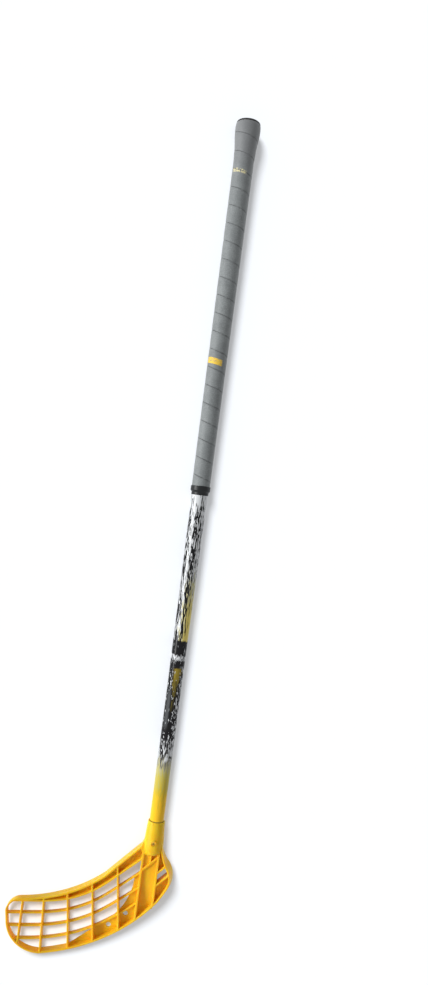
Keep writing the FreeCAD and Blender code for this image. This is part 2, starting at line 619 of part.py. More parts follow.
def web_openings(doc, sheet, lines):
    """Prisms that open the web: the lattice, the heel window and the round vents."""
    vents = [flat_feature(doc, "open_area", open_area(sheet, lines)),
             flat_feature(doc, "heel_window", heel_window(sheet))]
    tools = [upright_prism(doc, vent.Label + "_prism", vent) for vent in vents]
    for name in ("toe_vent", "heel_vent"):
        vent = doc.addObject("Part::Cylinder", name)
        vent.setExpression("Radius", "sizes.vent_radius")
        vent.setExpression("Height", "sizes.blade_block")
        vent.setExpression("Placement.Base.x", f"sizes.{name}_x")
        vent.setExpression("Placement.Base.y", f"sizes.{name}_y")
        vent.setExpression("Placement.Base.z", "-sizes.blade_block / 2")
        tools.append(vent)
    return joined(doc, "Part::MultiFuse", "web_openings", tools)


def make_hosel(doc, sheet):
    """Outside of the socket: widening mouth, barrel and closed end, turned about the shaft line."""
    return turned_body(doc, sheet, "hosel", [
        ("0", "0"),
        ("sizes.collar_radius - sizes.mouth_chamfer", "0"),
        ("sizes.collar_radius", "-sizes.mouth_chamfer"),
        ("sizes.hosel_radius", "-sizes.collar_height"),
        ("sizes.hosel_radius", "-sizes.hosel_shoulder"),
        ("sizes.hosel_turn_radius", "-sizes.hosel_turn"),
        ("0", "-sizes.hosel_end"),
    ])


def make_core(doc, sheet):
    """Thick core that carries the socket on down between the strong ribs and slopes back to the web."""
    body = doc.addObject("PartDesign::Body", "core")
    sketch = body_sketch(body, "core_section", "YZ_Plane")
    draw_loop(sketch, sheet, [
        ("sizes.core_top_y", "sizes.core_top_depth"),
        ("sizes.core_bend_y", "sizes.core_bend_depth"),
        ("sizes.core_end_y", "-sizes.web_drop + sizes.web_half_depth / 2"),
        ("sizes.core_top_y", "-sizes.core_top_depth"),
    ])
    pad = body.newObject("PartDesign::Pad", "core_pad")
    pad.Profile = sketch
    pad.SideType = "Two sides"
    pad.setExpression("Length", "sizes.strut_x")
    pad.setExpression("Length2", "-sizes.spar_x")
    doc.recompute()
    return body


def core_area(sheet):
    """Face between the strong ribs, below the diagonal brace."""
    corners = [(sheet.spar_x, sheet.brace_low_y), (sheet.strut_x, sheet.brace_high_y),
               (sheet.strut_x, -2 * sheet.blade_block), (sheet.spar_x, -2 * sheet.blade_block)]
    spots = [FreeCAD.Vector(x, y, 0) for x, y in corners]
    return Part.Face(Part.makePolygon(spots + spots[:1]))


def screw_place(sheet, side):
    """Placement of a screw, from its own axis to its boss: the rear one is turned over."""
    depth = sheet.get(side + "_boss_depth")
    turn = FreeCAD.Rotation(Y_AXIS, 0 if side == "front" else 180)
    return FreeCAD.Placement(FreeCAD.Vector(0, -depth, 0), turn)


def screw_cylinder(doc, sheet, side, label, radius, low, high):
    """Cylinder about a screw's axis between two heights above the shaft line."""
    cylinder = doc.addObject("Part::Cylinder", side + "_" + label)
    cylinder.setExpression("Radius", radius)
    cylinder.setExpression("Height", f"{high} - {low}")
    lift = FreeCAD.Placement(FreeCAD.Vector(0, 0, value_of(sheet, low)), FreeCAD.Rotation())
    cylinder.Placement = screw_place(sheet, side).multiply(lift)
    return cylinder


def make_blade(doc, sheet):
    """One moulding: rim, ribs, slats, web, core and socket, with the bore and the screw seats cut out."""
    lines = SlatLines(sheet)
    outline = blade_outline(doc, sheet)
    doc.recompute()
    whole = upright_prism(doc, "blade_blank", outline)
    inside = doc.addObject("Part::Offset2D", "rim_inside")
    inside.Source = outline
    inside.setExpression("Value", "-sizes.rim_width")
    rim = cut_away(doc, "rim", whole, upright_prism(doc, "rim_hollow", inside))
    faces = [strip_face(lines, k * sheet.slat_spacing, sheet.rib_width) for k in range(SLATS)]
    strips = [flat_feature(doc, f"slat_strip_{k}", face) for k, face in enumerate(faces)]
    slats = [upright_prism(doc, strip.Label + "_prism", strip) for strip in strips]
    corner = upright_prism(doc, "gusset_prism", flat_feature(doc, "gusset", gusset(sheet)))
    frame = joined(doc, "Part::MultiFuse", "frame_pattern", [rim, slats[0], corner] + make_walls(doc, sheet))
    half = "sizes.blade_half_depth"
    full = curved_slab(doc, sheet, "full_slab", half, "sizes.hook_front_radius", "sizes.hook_back_radius")
    thin_slabs = [curved_slab(doc, sheet, name + "_slab", depth, f"(sizes.hook_middle_radius - {depth})",
                              f"(sizes.hook_middle_radius + {depth})")
                  for name, depth in (("slat", "sizes.slat_half_depth"), ("web", "sizes.web_half_depth"))]
    slat_pattern = joined(doc, "Part::MultiFuse", "slat_pattern", slats[1:])
    web_pattern = cut_away(doc, "web_pattern", whole, web_openings(doc, sheet, lines))
    thin_slabs[1].setExpression("Placement.Base.z", "-sizes.web_drop")
    below_brace = upright_prism(doc, "core_area_prism", flat_feature(doc, "core_area", core_area(sheet)))
    layers = [joined(doc, "Part::MultiCommon", "blade_frame", [frame, whole, full]),
              joined(doc, "Part::MultiCommon", "blade_slats", [slat_pattern, whole, thin_slabs[0]]),
              joined(doc, "Part::MultiCommon", "blade_web", [web_pattern, thin_slabs[1]]),
              joined(doc, "Part::MultiCommon", "blade_core", [make_core(doc, sheet), below_brace, whole]),
              make_hosel(doc, sheet)]
    cuts = []
    bore = doc.addObject("Part::Cylinder", "socket_bore")
    bore.setExpression("Radius", "sizes.shaft_tip_radius + sizes.push_clearance")
    bore.setExpression("Height", "2 * sizes.shaft_insertion")
    bore.Placement = FreeCAD.Placement(FreeCAD.Vector(0, -sheet.shaft_insertion - sheet.push_clearance, 0),
                                       FreeCAD.Rotation(Z_AXIS, Y_AXIS))
    cuts.append(bore)
    for side in ("front", "rear"):
        layers.append(screw_cylinder(doc, sheet, side, "boss", "sizes.boss_radius",
                                     "sizes.shaft_tip_radius", "sizes.boss_height"))
        cuts.append(screw_cylinder(doc, sheet, side, "pilot", "sizes.screw_radius + sizes.screw_clearance",
                                   "0", "sizes.boss_height"))
        cuts.append(screw_cylinder(doc, sheet, side, "seat", "sizes.head_radius + sizes.head_clearance",
                                   "sizes.head_seat", "2 * sizes.boss_height"))
    body = joined(doc, "Part::MultiFuse", "blade_body", layers)
    tools = joined(doc, "Part::MultiFuse", "blade_cuts", cuts)
    return cut_away(doc, "blade", body, tools)


def resting_turn(sheet):
    """Turn of the stick lying on the floor: rolled until the back of the blade and the rear boss both touch,
    and pitched by the small difference in height between the knob and that boss."""
    reach = sheet.hook_back_radius - sheet.blade_half_depth + sheet.boss_height
    lean = math.atan2(sheet.boss_radius, reach)
    roll = lean + math.acos(sheet.hook_back_radius / math.hypot(reach, sheet.boss_radius))
    boss_drop = sheet.boss_height * math.cos(roll) + sheet.boss_radius * math.sin(roll)
    knob_drop = sheet.knob_radius + sheet.layer_clearance + sheet.grip_thickness
    pitch = math.atan2(knob_drop - boss_drop, sheet.grip_top + sheet.rear_boss_depth)
    print(f"resting: roll {math.degrees(roll):.2f} degrees, pitch {math.degrees(pitch):.3f} degrees")
    rolled = FreeCAD.Rotation(Y_AXIS, -math.degrees(roll))
    return FreeCAD.Rotation(X_AXIS, math.degrees(pitch)).multiply(rolled)


def lay_down(doc, sheet, pieces):
    """Gives every piece the same resting placement, with the origin under the middle of the whole stick."""
    turn = resting_turn(sheet)
    placed = {piece: piece.Placement for piece in pieces}
    trial = FreeCAD.Placement(FreeCAD.Vector(), turn)
    boxes = [piece.Shape.transformed(trial.toMatrix(), True).optimalBoundingBox(False) for piece in pieces]
    low = [min(getattr(box, axis + "Min") for box in boxes) for axis in "XYZ"]
    high = [max(getattr(box, axis + "Max") for box in boxes) for axis in "XYZ"]
    shift = FreeCAD.Vector(-(low[0] + high[0]) / 2, -(low[1] + high[1]) / 2, -low[2])
    rest = FreeCAD.Placement(shift, turn)
    for piece, place in placed.items():
        piece.Placement = rest.multiply(place)
    print("size", [round(b - a, 2) for a, b in zip(low, high)])
    spots = [("socket mouth", FreeCAD.Vector()), ("butt end", Y_AXIS * (sheet.grip_top + sheet.cap_height))]
    spots += [(side + " screw", screw_place(sheet, side).Base) for side in ("front", "rear")]
    for name, spot in spots:
        print(name, [round(c, 4) for c in rest.multVec(spot)])
    for name, axis in (("shaft line", Y_AXIS), ("face normal", Z_AXIS), ("heel side", X_AXIS)):
        print(name, [round(c, 7) for c in turn.multVec(axis)])
    doc.recompute()


def check_document(doc, pieces):
    """Stops before anything is written if an object failed or a piece isn't one valid solid."""
    failed = [thing.Name for thing in doc.Objects if {"Invalid", "Error"} & set(thing.State)]
    if failed:
        raise ValueError(f"failed objects: {failed}")
    for piece in pieces:
        shape = piece.Shape
        if shape.isNull() or not shape.isValid() or len(shape.Solids) != 1:
            raise ValueError(f"{piece.Label} is not one valid solid")


def main():
    doc = FreeCAD.newDocument("floorball_stick")
    sheet = make_sheet(doc)
    screws = []
    for side in ("front", "rear"):
        screw = make_screw(doc, sheet, f"blade_screw_{side}")
        screw.Placement = screw_place(sheet, side)
        screws.append(screw)
    pieces = [make_shaft(doc, sheet), make_end_knob(doc, sheet), make_finishing_tape(doc, sheet),
              make_grip_tape(doc, sheet), make_blade(doc, sheet)] + screws
    doc.recompute()
    check_document(doc, pieces)
    lay_down(doc, sheet, pieces)
    check_document(doc, pieces)
    os.makedirs("parts", exist_ok=True)
    for piece in pieces:
        piece.Shape.exportStep(f"parts/{piece.Label}.step")
        print(f"{piece.Label}: {piece.Shape.Volume / 1000:.2f} cm3")


main()
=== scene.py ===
"""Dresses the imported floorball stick: shaft, wound grip, closing band, butt knob, blade and screws."""

import json

import bpy
import numpy as np
from bpy.props import FloatProperty, FloatVectorProperty, IntProperty, PointerProperty
from mathutils import Matrix, Vector


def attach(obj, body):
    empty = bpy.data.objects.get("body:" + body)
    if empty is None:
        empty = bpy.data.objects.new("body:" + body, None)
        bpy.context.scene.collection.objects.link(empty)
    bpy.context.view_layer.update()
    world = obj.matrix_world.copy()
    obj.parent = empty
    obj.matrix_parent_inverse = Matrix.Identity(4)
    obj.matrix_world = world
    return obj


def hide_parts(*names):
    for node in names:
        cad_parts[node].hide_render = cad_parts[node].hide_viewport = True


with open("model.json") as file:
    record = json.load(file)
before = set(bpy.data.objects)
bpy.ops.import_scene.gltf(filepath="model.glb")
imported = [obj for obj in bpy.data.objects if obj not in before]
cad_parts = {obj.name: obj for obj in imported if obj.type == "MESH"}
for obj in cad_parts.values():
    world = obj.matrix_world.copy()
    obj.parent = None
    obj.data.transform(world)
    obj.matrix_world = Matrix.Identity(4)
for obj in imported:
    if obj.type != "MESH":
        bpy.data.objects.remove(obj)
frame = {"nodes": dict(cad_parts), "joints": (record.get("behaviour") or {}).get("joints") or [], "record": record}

bl_info = {
    "name": "Floorball Stick",
    "version": (1, 0, 0),
    "blender": (4, 5, 0),
    "location": "View3D > Sidebar > Stick",
    "description": "Builds the looks of a floorball stick around its packed solids",
    "category": "Object",
}

MM = 0.001
FULL_TURN = 2 * np.pi
CREASE_ANGLE = 0.6
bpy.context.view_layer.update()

BUTT_END = next(mount for mount in frame["record"]["mounts"] if mount["name"] == "butt_end")
FRONT_SCREW = next(joint for joint in frame["joints"] if joint["name"] == "front_screw_turn")
ALONG = np.array(BUTT_END["axis"]) / np.linalg.norm(BUTT_END["axis"])
FACE = np.array(FRONT_SCREW["axis"]) / np.linalg.norm(FRONT_SCREW["axis"])
SIDE = np.cross(ALONG, FACE)
STICK_TO_ROW = np.array([SIDE, ALONG, FACE])
MOUTH_TO_BUTT = 932.2 * MM
MOUTH = np.array(BUTT_END["pos_m"]) - MOUTH_TO_BUTT * ALONG


def to_row(points):
    """Points of the stick's own frame as points of the row: the mouth plus each coordinate times its axis.

    In the stick's frame X runs to the heel, Y up the shaft from the socket's mouth and Z out of the hollow
    face."""
    return MOUTH + points @ STICK_TO_ROW


def points_of(*coordinates):
    """Points from one array or number for each coordinate, spread to a common shape."""
    return np.stack(np.broadcast_arrays(*coordinates), axis=-1)


def around_shaft(radius, height, angle):
    """Points at a radius and a height, turned by an angle from the hollow face towards the heel."""
    return points_of(radius * np.sin(angle), height, radius * np.cos(angle))


def smooth_step(value, low, high):
    """0 below low, 1 above high, and the cubic 3 s^2 - 2 s^3 between."""
    share = np.clip((value - low) / (high - low), 0, 1)
    return share * share * (3 - 2 * share)


def quarter_round(share):
    """Height of a quarter circle at a share of the way in from its foot."""
    return np.sqrt(np.maximum(0, 1 - (1 - share) ** 2))


def grid_faces(steps, points, wrap_steps):
    """Four-sided faces of a grid of `steps` closed sections with `points` points each."""
    step = np.arange(steps if wrap_steps else steps - 1)[:, None]
    point = np.arange(points)[None, :]
    next_step, next_point = (step + 1) % steps, (point + 1) % points
    return points_of(step * points + point, next_step * points + point,
                     next_step * points + next_point, step * points + next_point).reshape(-1, 4)


def swept_mesh(name, points, wrap_steps):
    """Mesh of a grid of closed sections, points[step, point], in the stick's frame.

    The sections run round the piece. With no wrap the first and last section get a flat face each."""
    steps, count = points.shape[:2]
    faces = grid_faces(steps, count, wrap_steps).tolist()
    if not wrap_steps:
        faces.append(list(range(count)))
        faces.append(list(range(steps * count - 1, (steps - 1) * count - 1, -1)))
    mesh = bpy.data.meshes.new(name)
    mesh.from_pydata(to_row(points.reshape(-1, 3)), [], faces)
    return mesh


def turned_mesh(name, profile, sectors, place=around_shaft):
    """Mesh of a solid of revolution: a profile of (radius, height) points, its outside listed upwards, turned
    to evenly spaced angles.

    A profile that starts and ends on the axis gets one shared point there at each end, and any other profile
    is a closed ring."""
    radius, height = np.asarray(profile, float).T
    angle = FULL_TURN * np.arange(sectors)[:, None] / sectors
    points = place(radius, height, angle)
    if radius[0] > 0:
        return swept_mesh(name, points, True)
    rings = points[:, 1:-1]
    count = rings.shape[1]
    quads = grid_faces(sectors, count, True).reshape(sectors, count, 4)[:, :-1].reshape(-1, 4)
    first, last = sectors * count, sectors * count + 1
    start = np.arange(sectors) * count
    following = np.roll(start, -1)
    low_fan = points_of(first, following, start)
    high_fan = points_of(last, start + count - 1, following + count - 1)
    mesh = bpy.data.meshes.new(name)
    spots = np.concatenate([rings.reshape(-1, 3), points[0, :1], points[0, -1:]])
    mesh.from_pydata(to_row(spots), [], quads.tolist() + low_fan.tolist() + high_fan.tolist())
    return mesh


def add_piece(name, mesh, body, material):
    """Object of a mesh, smooth where its faces meet flatter than the crease angle, riding on a body."""
    mesh.polygons.foreach_set("use_smooth", np.ones(len(mesh.polygons), dtype=bool))
    mesh.set_sharp_from_angle(angle=CREASE_ANGLE)
    mesh.materials.clear()
    mesh.materials.append(material)
    piece = bpy.data.objects.new(name, mesh)
    bpy.context.scene.collection.objects.link(piece)
    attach(piece, body)
    return piece


def united_mesh(name, meshes, cutters):
    """One mesh of all the closed meshes joined, less the cutters, worked out by Boolean modifiers."""
    fewest_faces = 1000
    base = bpy.data.objects.new(name, meshes[0])
    bpy.context.scene.collection.objects.link(base)
    helpers = []
    steps = [("UNION", mesh) for mesh in meshes[1:]] + [("DIFFERENCE", mesh) for mesh in cutters]
    for operation, tool in steps:
        helper = bpy.data.objects.new(tool.name, tool)
        bpy.context.scene.collection.objects.link(helper)
        modifier = base.modifiers.new(helper.name, "BOOLEAN")
        modifier.operation, modifier.object, modifier.solver = operation, helper, "MANIFOLD"
        helpers.append(helper)
    result = bpy.data.meshes.new_from_object(base.evaluated_get(bpy.context.evaluated_depsgraph_get()))
    result.name = name
    for helper in (base, *helpers):
        bpy.data.objects.remove(helper)
    for mesh in (*meshes, *cutters):
        bpy.data.meshes.remove(mesh)
    if len(result.polygons) < fewest_faces:
        raise RuntimeError(name + " lost its faces when its parts were joined")
    return result


def rounded(corners, radius, steps=5):
    """Closed profile with each corner replaced by a quadratic curve from one side to the next.

    The curve leaves and meets the sides at `radius` from the corner, or a third of a shorter side."""
    corners = np.asarray(corners, float)
    ends = []
    for shift in (1, -1):
        side = np.roll(corners, shift, axis=0) - corners
        span = np.linalg.norm(side, axis=1)[:, None]
        ends.append((corners + side / span * np.minimum(radius, span / 3))[:, None])
    share = np.linspace(0, 1, steps)[None, :, None]
    curve = ends[0] * (1 - share) ** 2 + 2 * corners[:, None] * share * (1 - share) + ends[1] * share ** 2
    return curve.reshape(-1, 2)


def opaque(colour):
    return (*colour, 1.0)


class Nodes:
    """Short calls that add shader nodes to one tree and link them."""

    def __init__(self, tree):
        self.tree = tree

    def add(self, kind, inputs=None, **settings):
        node = self.tree.nodes.new(kind)
        for name, value in settings.items():
            setattr(node, name, value)
        for key, value in (inputs or {}).items():
            if isinstance(value, bpy.types.NodeSocket):
                self.tree.links.new(value, node.inputs[key])
            else:
                node.inputs[key].default_value = value
        return node

    def math(self, operation, first, second=0.0):
        return self.add("ShaderNodeMath", {0: first, 1: second}, operation=operation).outputs[0]

    def plus(self, first, second):
        return self.math("ADD", first, second)

    def minus(self, first, second):
        return self.math("SUBTRACT", first, second)

    def times(self, first, second):
        return self.math("MULTIPLY", first, second)

    def fade(self, value, low, high):
        """0 to 1 as the value goes from low to high."""
        node = self.add("ShaderNodeMapRange", {0: value, 1: low, 2: high}, interpolation_type="SMOOTHSTEP")
        return node.outputs[0]

    def edge(self, value, softness):
        """0 to 1 as the value passes 0."""
        return self.fade(value, -softness, softness)

    def mix(self, share, first, second):
        """Colour that goes from first to second as the share goes from 0 to 1."""
        first, second = (colour if isinstance(colour, bpy.types.NodeSocket) else opaque(colour)
                         for colour in (first, second))
        return self.add("ShaderNodeMix", {0: share, 6: first, 7: second}, data_type="RGBA").outputs[2]

    def between(self, share, first, second):
        """Value that goes from first to second as the share goes from 0 to 1."""
        return self.add("ShaderNodeMix", {0: share, 2: first, 3: second}).outputs[0]

    def window(self, value, start, full, last, end):
        """0 before start, 1 from full to last and 0 again after end."""
        return self.times(self.fade(value, start, full), self.fade(value, end, last))

    def noise(self, vector, scale, detail=2.0, roughness=0.5, distortion=0.0):
        node = self.add("ShaderNodeTexNoise", {"Vector": vector, "Scale": scale, "Detail": detail,
                                               "Roughness": roughness, "Distortion": distortion})
        return node.outputs["Fac"]

    def ramp(self, value, stops):
        """Colours along a value: stops are (position, colour)."""
        node = self.add("ShaderNodeValToRGB", {0: value})
        elements = node.color_ramp.elements
        while len(elements) < len(stops):
            elements.new(1.0)
        for element, (position, colour) in zip(elements, stops):
            element.position, element.color = position, opaque(colour)
        return node.outputs[0]

    def levels(self, value, stops):
        """Values along another value: stops are (position, level)."""
        return self.ramp(value, [(position, (level, level, level)) for position, level in stops])

    def group(self, name, inputs):
        """Outputs of a shared shader group, which is made the first time that it is asked for."""
        if name not in bpy.data.node_groups:
            GROUP_MAKERS[name](name)
        return self.add("ShaderNodeGroup", inputs, node_tree=bpy.data.node_groups[name]).outputs


def new_group(name, inputs, outputs):
    """Empty shader group: socket names and kinds in and out."""
    tree = bpy.data.node_groups.new(name, "ShaderNodeTree")
    for way, sockets in (("INPUT", inputs), ("OUTPUT", outputs)):
        for socket, kind in sockets.items():
            tree.interface.new_socket(socket, in_out=way, socket_type="NodeSocket" + kind)
    nodes = Nodes(tree)
    return tree, nodes, nodes.add("NodeGroupInput").outputs, nodes.add("NodeGroupOutput").inputs


def make_stick_frame(name):
    """Group that turns object coordinates into millimetres of the stick's own frame."""
    tree, nodes, given, result = new_group(
        name, {"Vector": "Vector"},
        {"Position": "Vector", "Across": "Float", "Along": "Float", "Depth": "Float"})
    turn = Matrix(STICK_TO_ROW.T.tolist()).to_euler()
    place = nodes.add("ShaderNodeMapping", {"Vector": given["Vector"], "Location": MOUTH, "Rotation": turn,
                                            "Scale": (MM, MM, MM)}, vector_type="TEXTURE").outputs[0]
    parts = nodes.add("ShaderNodeSeparateXYZ", {0: place}).outputs
    tree.links.new(place, result["Position"])
    for socket, part in (("Across", "X"), ("Along", "Y"), ("Depth", "Z")):
        tree.links.new(parts[part], result[socket])


def make_streaks(name):
    """Group that gives long brush marks along the shaft: noise stretched along Y and cut at a level."""
    tree, nodes, given, result = new_group(
        name, {"Position": "Vector", "Width": "Float", "Length": "Float", "Level": "Float",
               "Softness": "Float"}, {"Mask": "Float", "Raw": "Float"})
    scale = nodes.add("ShaderNodeCombineXYZ", {0: given["Width"], 1: given["Length"], 2: given["Width"]})
    stretched = nodes.add("ShaderNodeVectorMath", {0: given["Position"], 1: scale.outputs[0]},
                          operation="DIVIDE")
    raw = nodes.noise(stretched.outputs[0], 1.0, detail=1.0, distortion=0.3)
    low, high = nodes.minus(given["Level"], given["Softness"]), nodes.plus(given["Level"], given["Softness"])
    tree.links.new(nodes.fade(raw, low, high), result["Mask"])
    tree.links.new(raw, result["Raw"])


def make_grain(name):
    """Group that gives a fine moulded or pressed grain: cells of one size with a finer noise on them as a
    height, and slow patches."""
    tree, nodes, given, result = new_group(
        name, {"Position": "Vector", "Size": "Float"}, {"Height": "Float", "Patches": "Float"})
    per_size = nodes.math("DIVIDE", 1.0, given["Size"])
    spread = nodes.add("ShaderNodeVectorMath", {0: given["Position"], "Scale": per_size}, operation="SCALE")
    cells = nodes.add("ShaderNodeTexVoronoi", {"Vector": spread.outputs[0], "Scale": 1.0},
                      feature="SMOOTH_F1")
    fine = nodes.noise(spread.outputs[0], 1.7, detail=3.0, roughness=0.6)
    tree.links.new(nodes.plus(cells.outputs["Distance"], fine), result["Height"])
    tree.links.new(nodes.noise(given["Position"], 0.06), result["Patches"])


GROUP_MAKERS = {"stick_frame": make_stick_frame, "streaks": make_streaks, "fine_grain": make_grain}


class Finish:
    """Material with a Principled shader, and the stick's coordinates in millimetres ready as sockets."""

    def __init__(self, name, **sockets):
        self.material = bpy.data.materials.new(name)
        self.material.use_nodes = True
        self.nodes = Nodes(self.material.node_tree)
        self.shader = self.material.node_tree.nodes["Principled BSDF"]
        for socket, value in sockets.items():
            self.shader.inputs[socket.replace("_", " ")].default_value = value
        coordinates = self.nodes.add("ShaderNodeTexCoord").outputs["Object"]
        place = self.nodes.group("stick_frame", {"Vector": coordinates})
        self.position, self.across, self.along, self.depth = (
            place[socket] for socket in ("Position", "Across", "Along", "Depth"))

    def feed(self, socket, value):
        self.material.node_tree.links.new(value, self.shader.inputs[socket])

    def streaks(self, width, length, level=0.5, softness=0.1):
        """Marks of a width and length in millimetres. A higher level leaves fewer of them in the mask."""
        return self.nodes.group("streaks", {"Position": self.position, "Width": width, "Length": length,
                                            "Level": level, "Softness": softness})

    def ragged(self, amount, width=1.5, length=13.0):
        """Offset in millimetres that makes a painted edge wander."""
        return self.nodes.times(self.nodes.minus(self.streaks(width, length)["Raw"], 0.5), amount)

    def grain(self, cell):
        return self.nodes.group("fine_grain", {"Position": self.position, "Size": cell})

    def rough(self, least, spread, value):
        """Roughness that rises from the least by the spread as a value goes from 0 to 1."""
        self.feed("Roughness", self.nodes.plus(least, self.nodes.times(value, spread)))

    def bump(self, height, strength, depth_mm):
        inputs = {"Strength": strength, "Distance": depth_mm * MM, "Height": height}
        self.feed("Normal", self.nodes.add("ShaderNodeBump", inputs).outputs[0])


# Fades of the shaft's paint in millimetres above the socket's mouth: where each begins and where it is full.
# The shaft turns black under the grip: painted shade in the gaps between the strip's turns.
UNDER_GRIP_PAINTED_SHADE, BARE_ABOVE = (439.0, 441.0), (396.0, 446.0)
STREAKS_BELOW, GOLD_BELOW = (338.0, 300.0), (322.0, 262.0)
BAND_TOP, BAND_FOOT, SPECKS_BELOW = (241.2, 241.9), (208.4, 207.6), (209.0, 203.0)
STRIPE_TOP, STRIPE_END, STRIPE_TAPER = (206.0, 203.0), (152.0, 172.0), (202.0, 160.0)
STRIPE_WEAR, MOTTLE_BELOW = (198.0, 160.0), (204.0, 170.0)
FOOT_CLEAR, MOUTH_PAINTED_SHADOW_FADE = (84.0, 72.0), (1.5, 0.7)
# Stretches of the shaft's paint: where each begins, is full, begins to fade and ends.
RING, PAINTED_HIGHLIGHT, STROKES = (215.2, 215.8, 221.6, 222.2), (120.0, 132.0, 166.0, 184.0), (70.0, 84.0, 97.0, 112.0)
# Fades across the shaft, in millimetres from its line towards the heel.
CREAM_SIDE, GILT_SIDE, SPECK_SIDE = (-3.5, -1.5), (2.4, 3.6), (2.0, 6.0)
PAINTED_HIGHLIGHT_SIDE = (-8.0, -6.5, -4.0, -1.5)
STRIPE_MIDDLE, STRIPE_EDGE, STRIPE_SHADE_EDGE = 1.6, (4.4, 3.6), (6.5, 4.5)
PAINTED_WIDTH = 22.0
# The foot of the shaft: its top, the length over which it turns yellow, and colours at shares of that length.
FOOT_TOP, FOOT_LENGTH = 97.0, 80.0
FOOT_COLOURS = ((0.14, (0.10, 0.10, 0.095)), (0.28, (0.44, 0.42, 0.26)), (0.46, (0.50, 0.44, 0.10)),
                (0.72, (0.60, 0.44, 0.03)))
STRIPE_SHADE, STRIPE_BRIGHT, STRIPE_WORN = (0.030, 0.022, 0.010), (0.27, 0.20, 0.025), (0.11, 0.09, 0.015)
STRIPE_MOTTLE, PAINTED_HIGHLIGHT_GREY, MOUTH_PAINTED_SHADOW = (0.035, 0.03, 0.01), (0.060, 0.063, 0.068), (0.34, 0.23, 0.03)
# How sparse the marks are across the upper shaft, from toe side to heel side: share of the width, level.
# The sparser column on the toe side of the middle is a painted highlight.
DASH_LEVELS = ((0.02, 0.42), (0.08, 0.405), (0.136, 0.395), (0.2, 0.47), (0.26, 0.565), (0.32, 0.62),
               (0.38, 0.55), (0.44, 0.445), (0.5, 0.44), (0.56, 0.48), (0.62, 0.412), (0.68, 0.407),
               (0.74, 0.505), (0.86, 0.52))
STREAK_LEVELS = ((0.02, 0.437), (0.136, 0.443), (0.2, 0.48), (0.26, 0.47), (0.32, 0.515), (0.38, 0.55),
                 (0.44, 0.443), (0.5, 0.40), (0.56, 0.407), (0.62, 0.50), (0.68, 0.545), (0.74, 0.62),
                 (0.8, 0.66))


def shaft_finish(look):
    """Lacquered paint in zones along the shaft: dashed white, a gilded stretch, dark bands with a ring, a
    gilded stripe with scratches, and yellow at the blade."""
    finish = Finish("shaft_lacquer", Specular_IOR_Level=0.06, Coat_Weight=0.16, Coat_Roughness=0.05)
    nodes = finish.nodes
    # Painted shade: black under the grip, so the gaps between the strip's turns show dark.
    paint = nodes.mix(nodes.fade(finish.along, *UNDER_GRIP_PAINTED_SHADE), upper_paint(finish, look), look.ink)
    finish.feed("Base Color", lower_paint(finish, look, band_paint(finish, look, paint)))
    finish.rough(0.24, 0.14, finish.grain(0.5)["Patches"])
    return finish.material


def upper_paint(finish, look):
    """White with crisp dashes, which turn into long streaks over a cream and gilded ground lower down."""
    nodes, along, across = finish.nodes, finish.along, finish.across
    worn_along = nodes.plus(along, finish.ragged(120.0))
    low = nodes.fade(worn_along, *STREAKS_BELOW)
    wandering = nodes.plus(across, finish.ragged(16.0))
    gilt = nodes.mix(nodes.fade(along, *GOLD_BELOW), look.olive, look.gold)
    ground = nodes.mix(nodes.fade(wandering, *CREAM_SIDE), look.silver, look.cream)
    ground = nodes.mix(nodes.fade(wandering, *GILT_SIDE), ground, gilt)
    ground = nodes.mix(low, look.silver, ground)
    from_middle = nodes.math("DIVIDE", nodes.plus(across, finish.ragged(5.0)), PAINTED_WIDTH)
    width_share = nodes.plus(0.5, from_middle)
    bare = nodes.times(nodes.fade(worn_along, *BARE_ABOVE), 0.22)
    # Fewer dashes in a column on the toe side of the middle: a painted highlight.
    dash_level = nodes.plus(nodes.levels(width_share, DASH_LEVELS), bare)
    dashes = nodes.minus(finish.streaks(1.35, 9.0)["Raw"], dash_level)
    streaks = nodes.minus(finish.streaks(1.45, 14.0)["Raw"], nodes.levels(width_share, STREAK_LEVELS))
    marks = nodes.between(low, nodes.edge(dashes, 0.006), nodes.edge(streaks, 0.008))
    return nodes.mix(marks, ground, look.ink)


def band_paint(finish, look, above):
    """Black band with rough ends and a scratched white ring in it."""
    nodes = finish.nodes
    slant = nodes.times(finish.across, 0.10)
    seam = nodes.plus(finish.along, nodes.plus(finish.ragged(8.0, 1.2, 3.0), slant))
    scratches = finish.streaks(1.3, 4.0, softness=0.02)["Mask"]
    ring = nodes.times(nodes.window(seam, *RING), nodes.between(scratches, 1.0, 0.2))
    nicks = nodes.times(finish.streaks(1.2, 7.0, 0.70, 0.02)["Mask"], 0.8)
    band = nodes.mix(nodes.math("MAXIMUM", ring, nicks), look.ink, look.silver)
    return nodes.mix(nodes.fade(seam, *BAND_TOP), band, above)


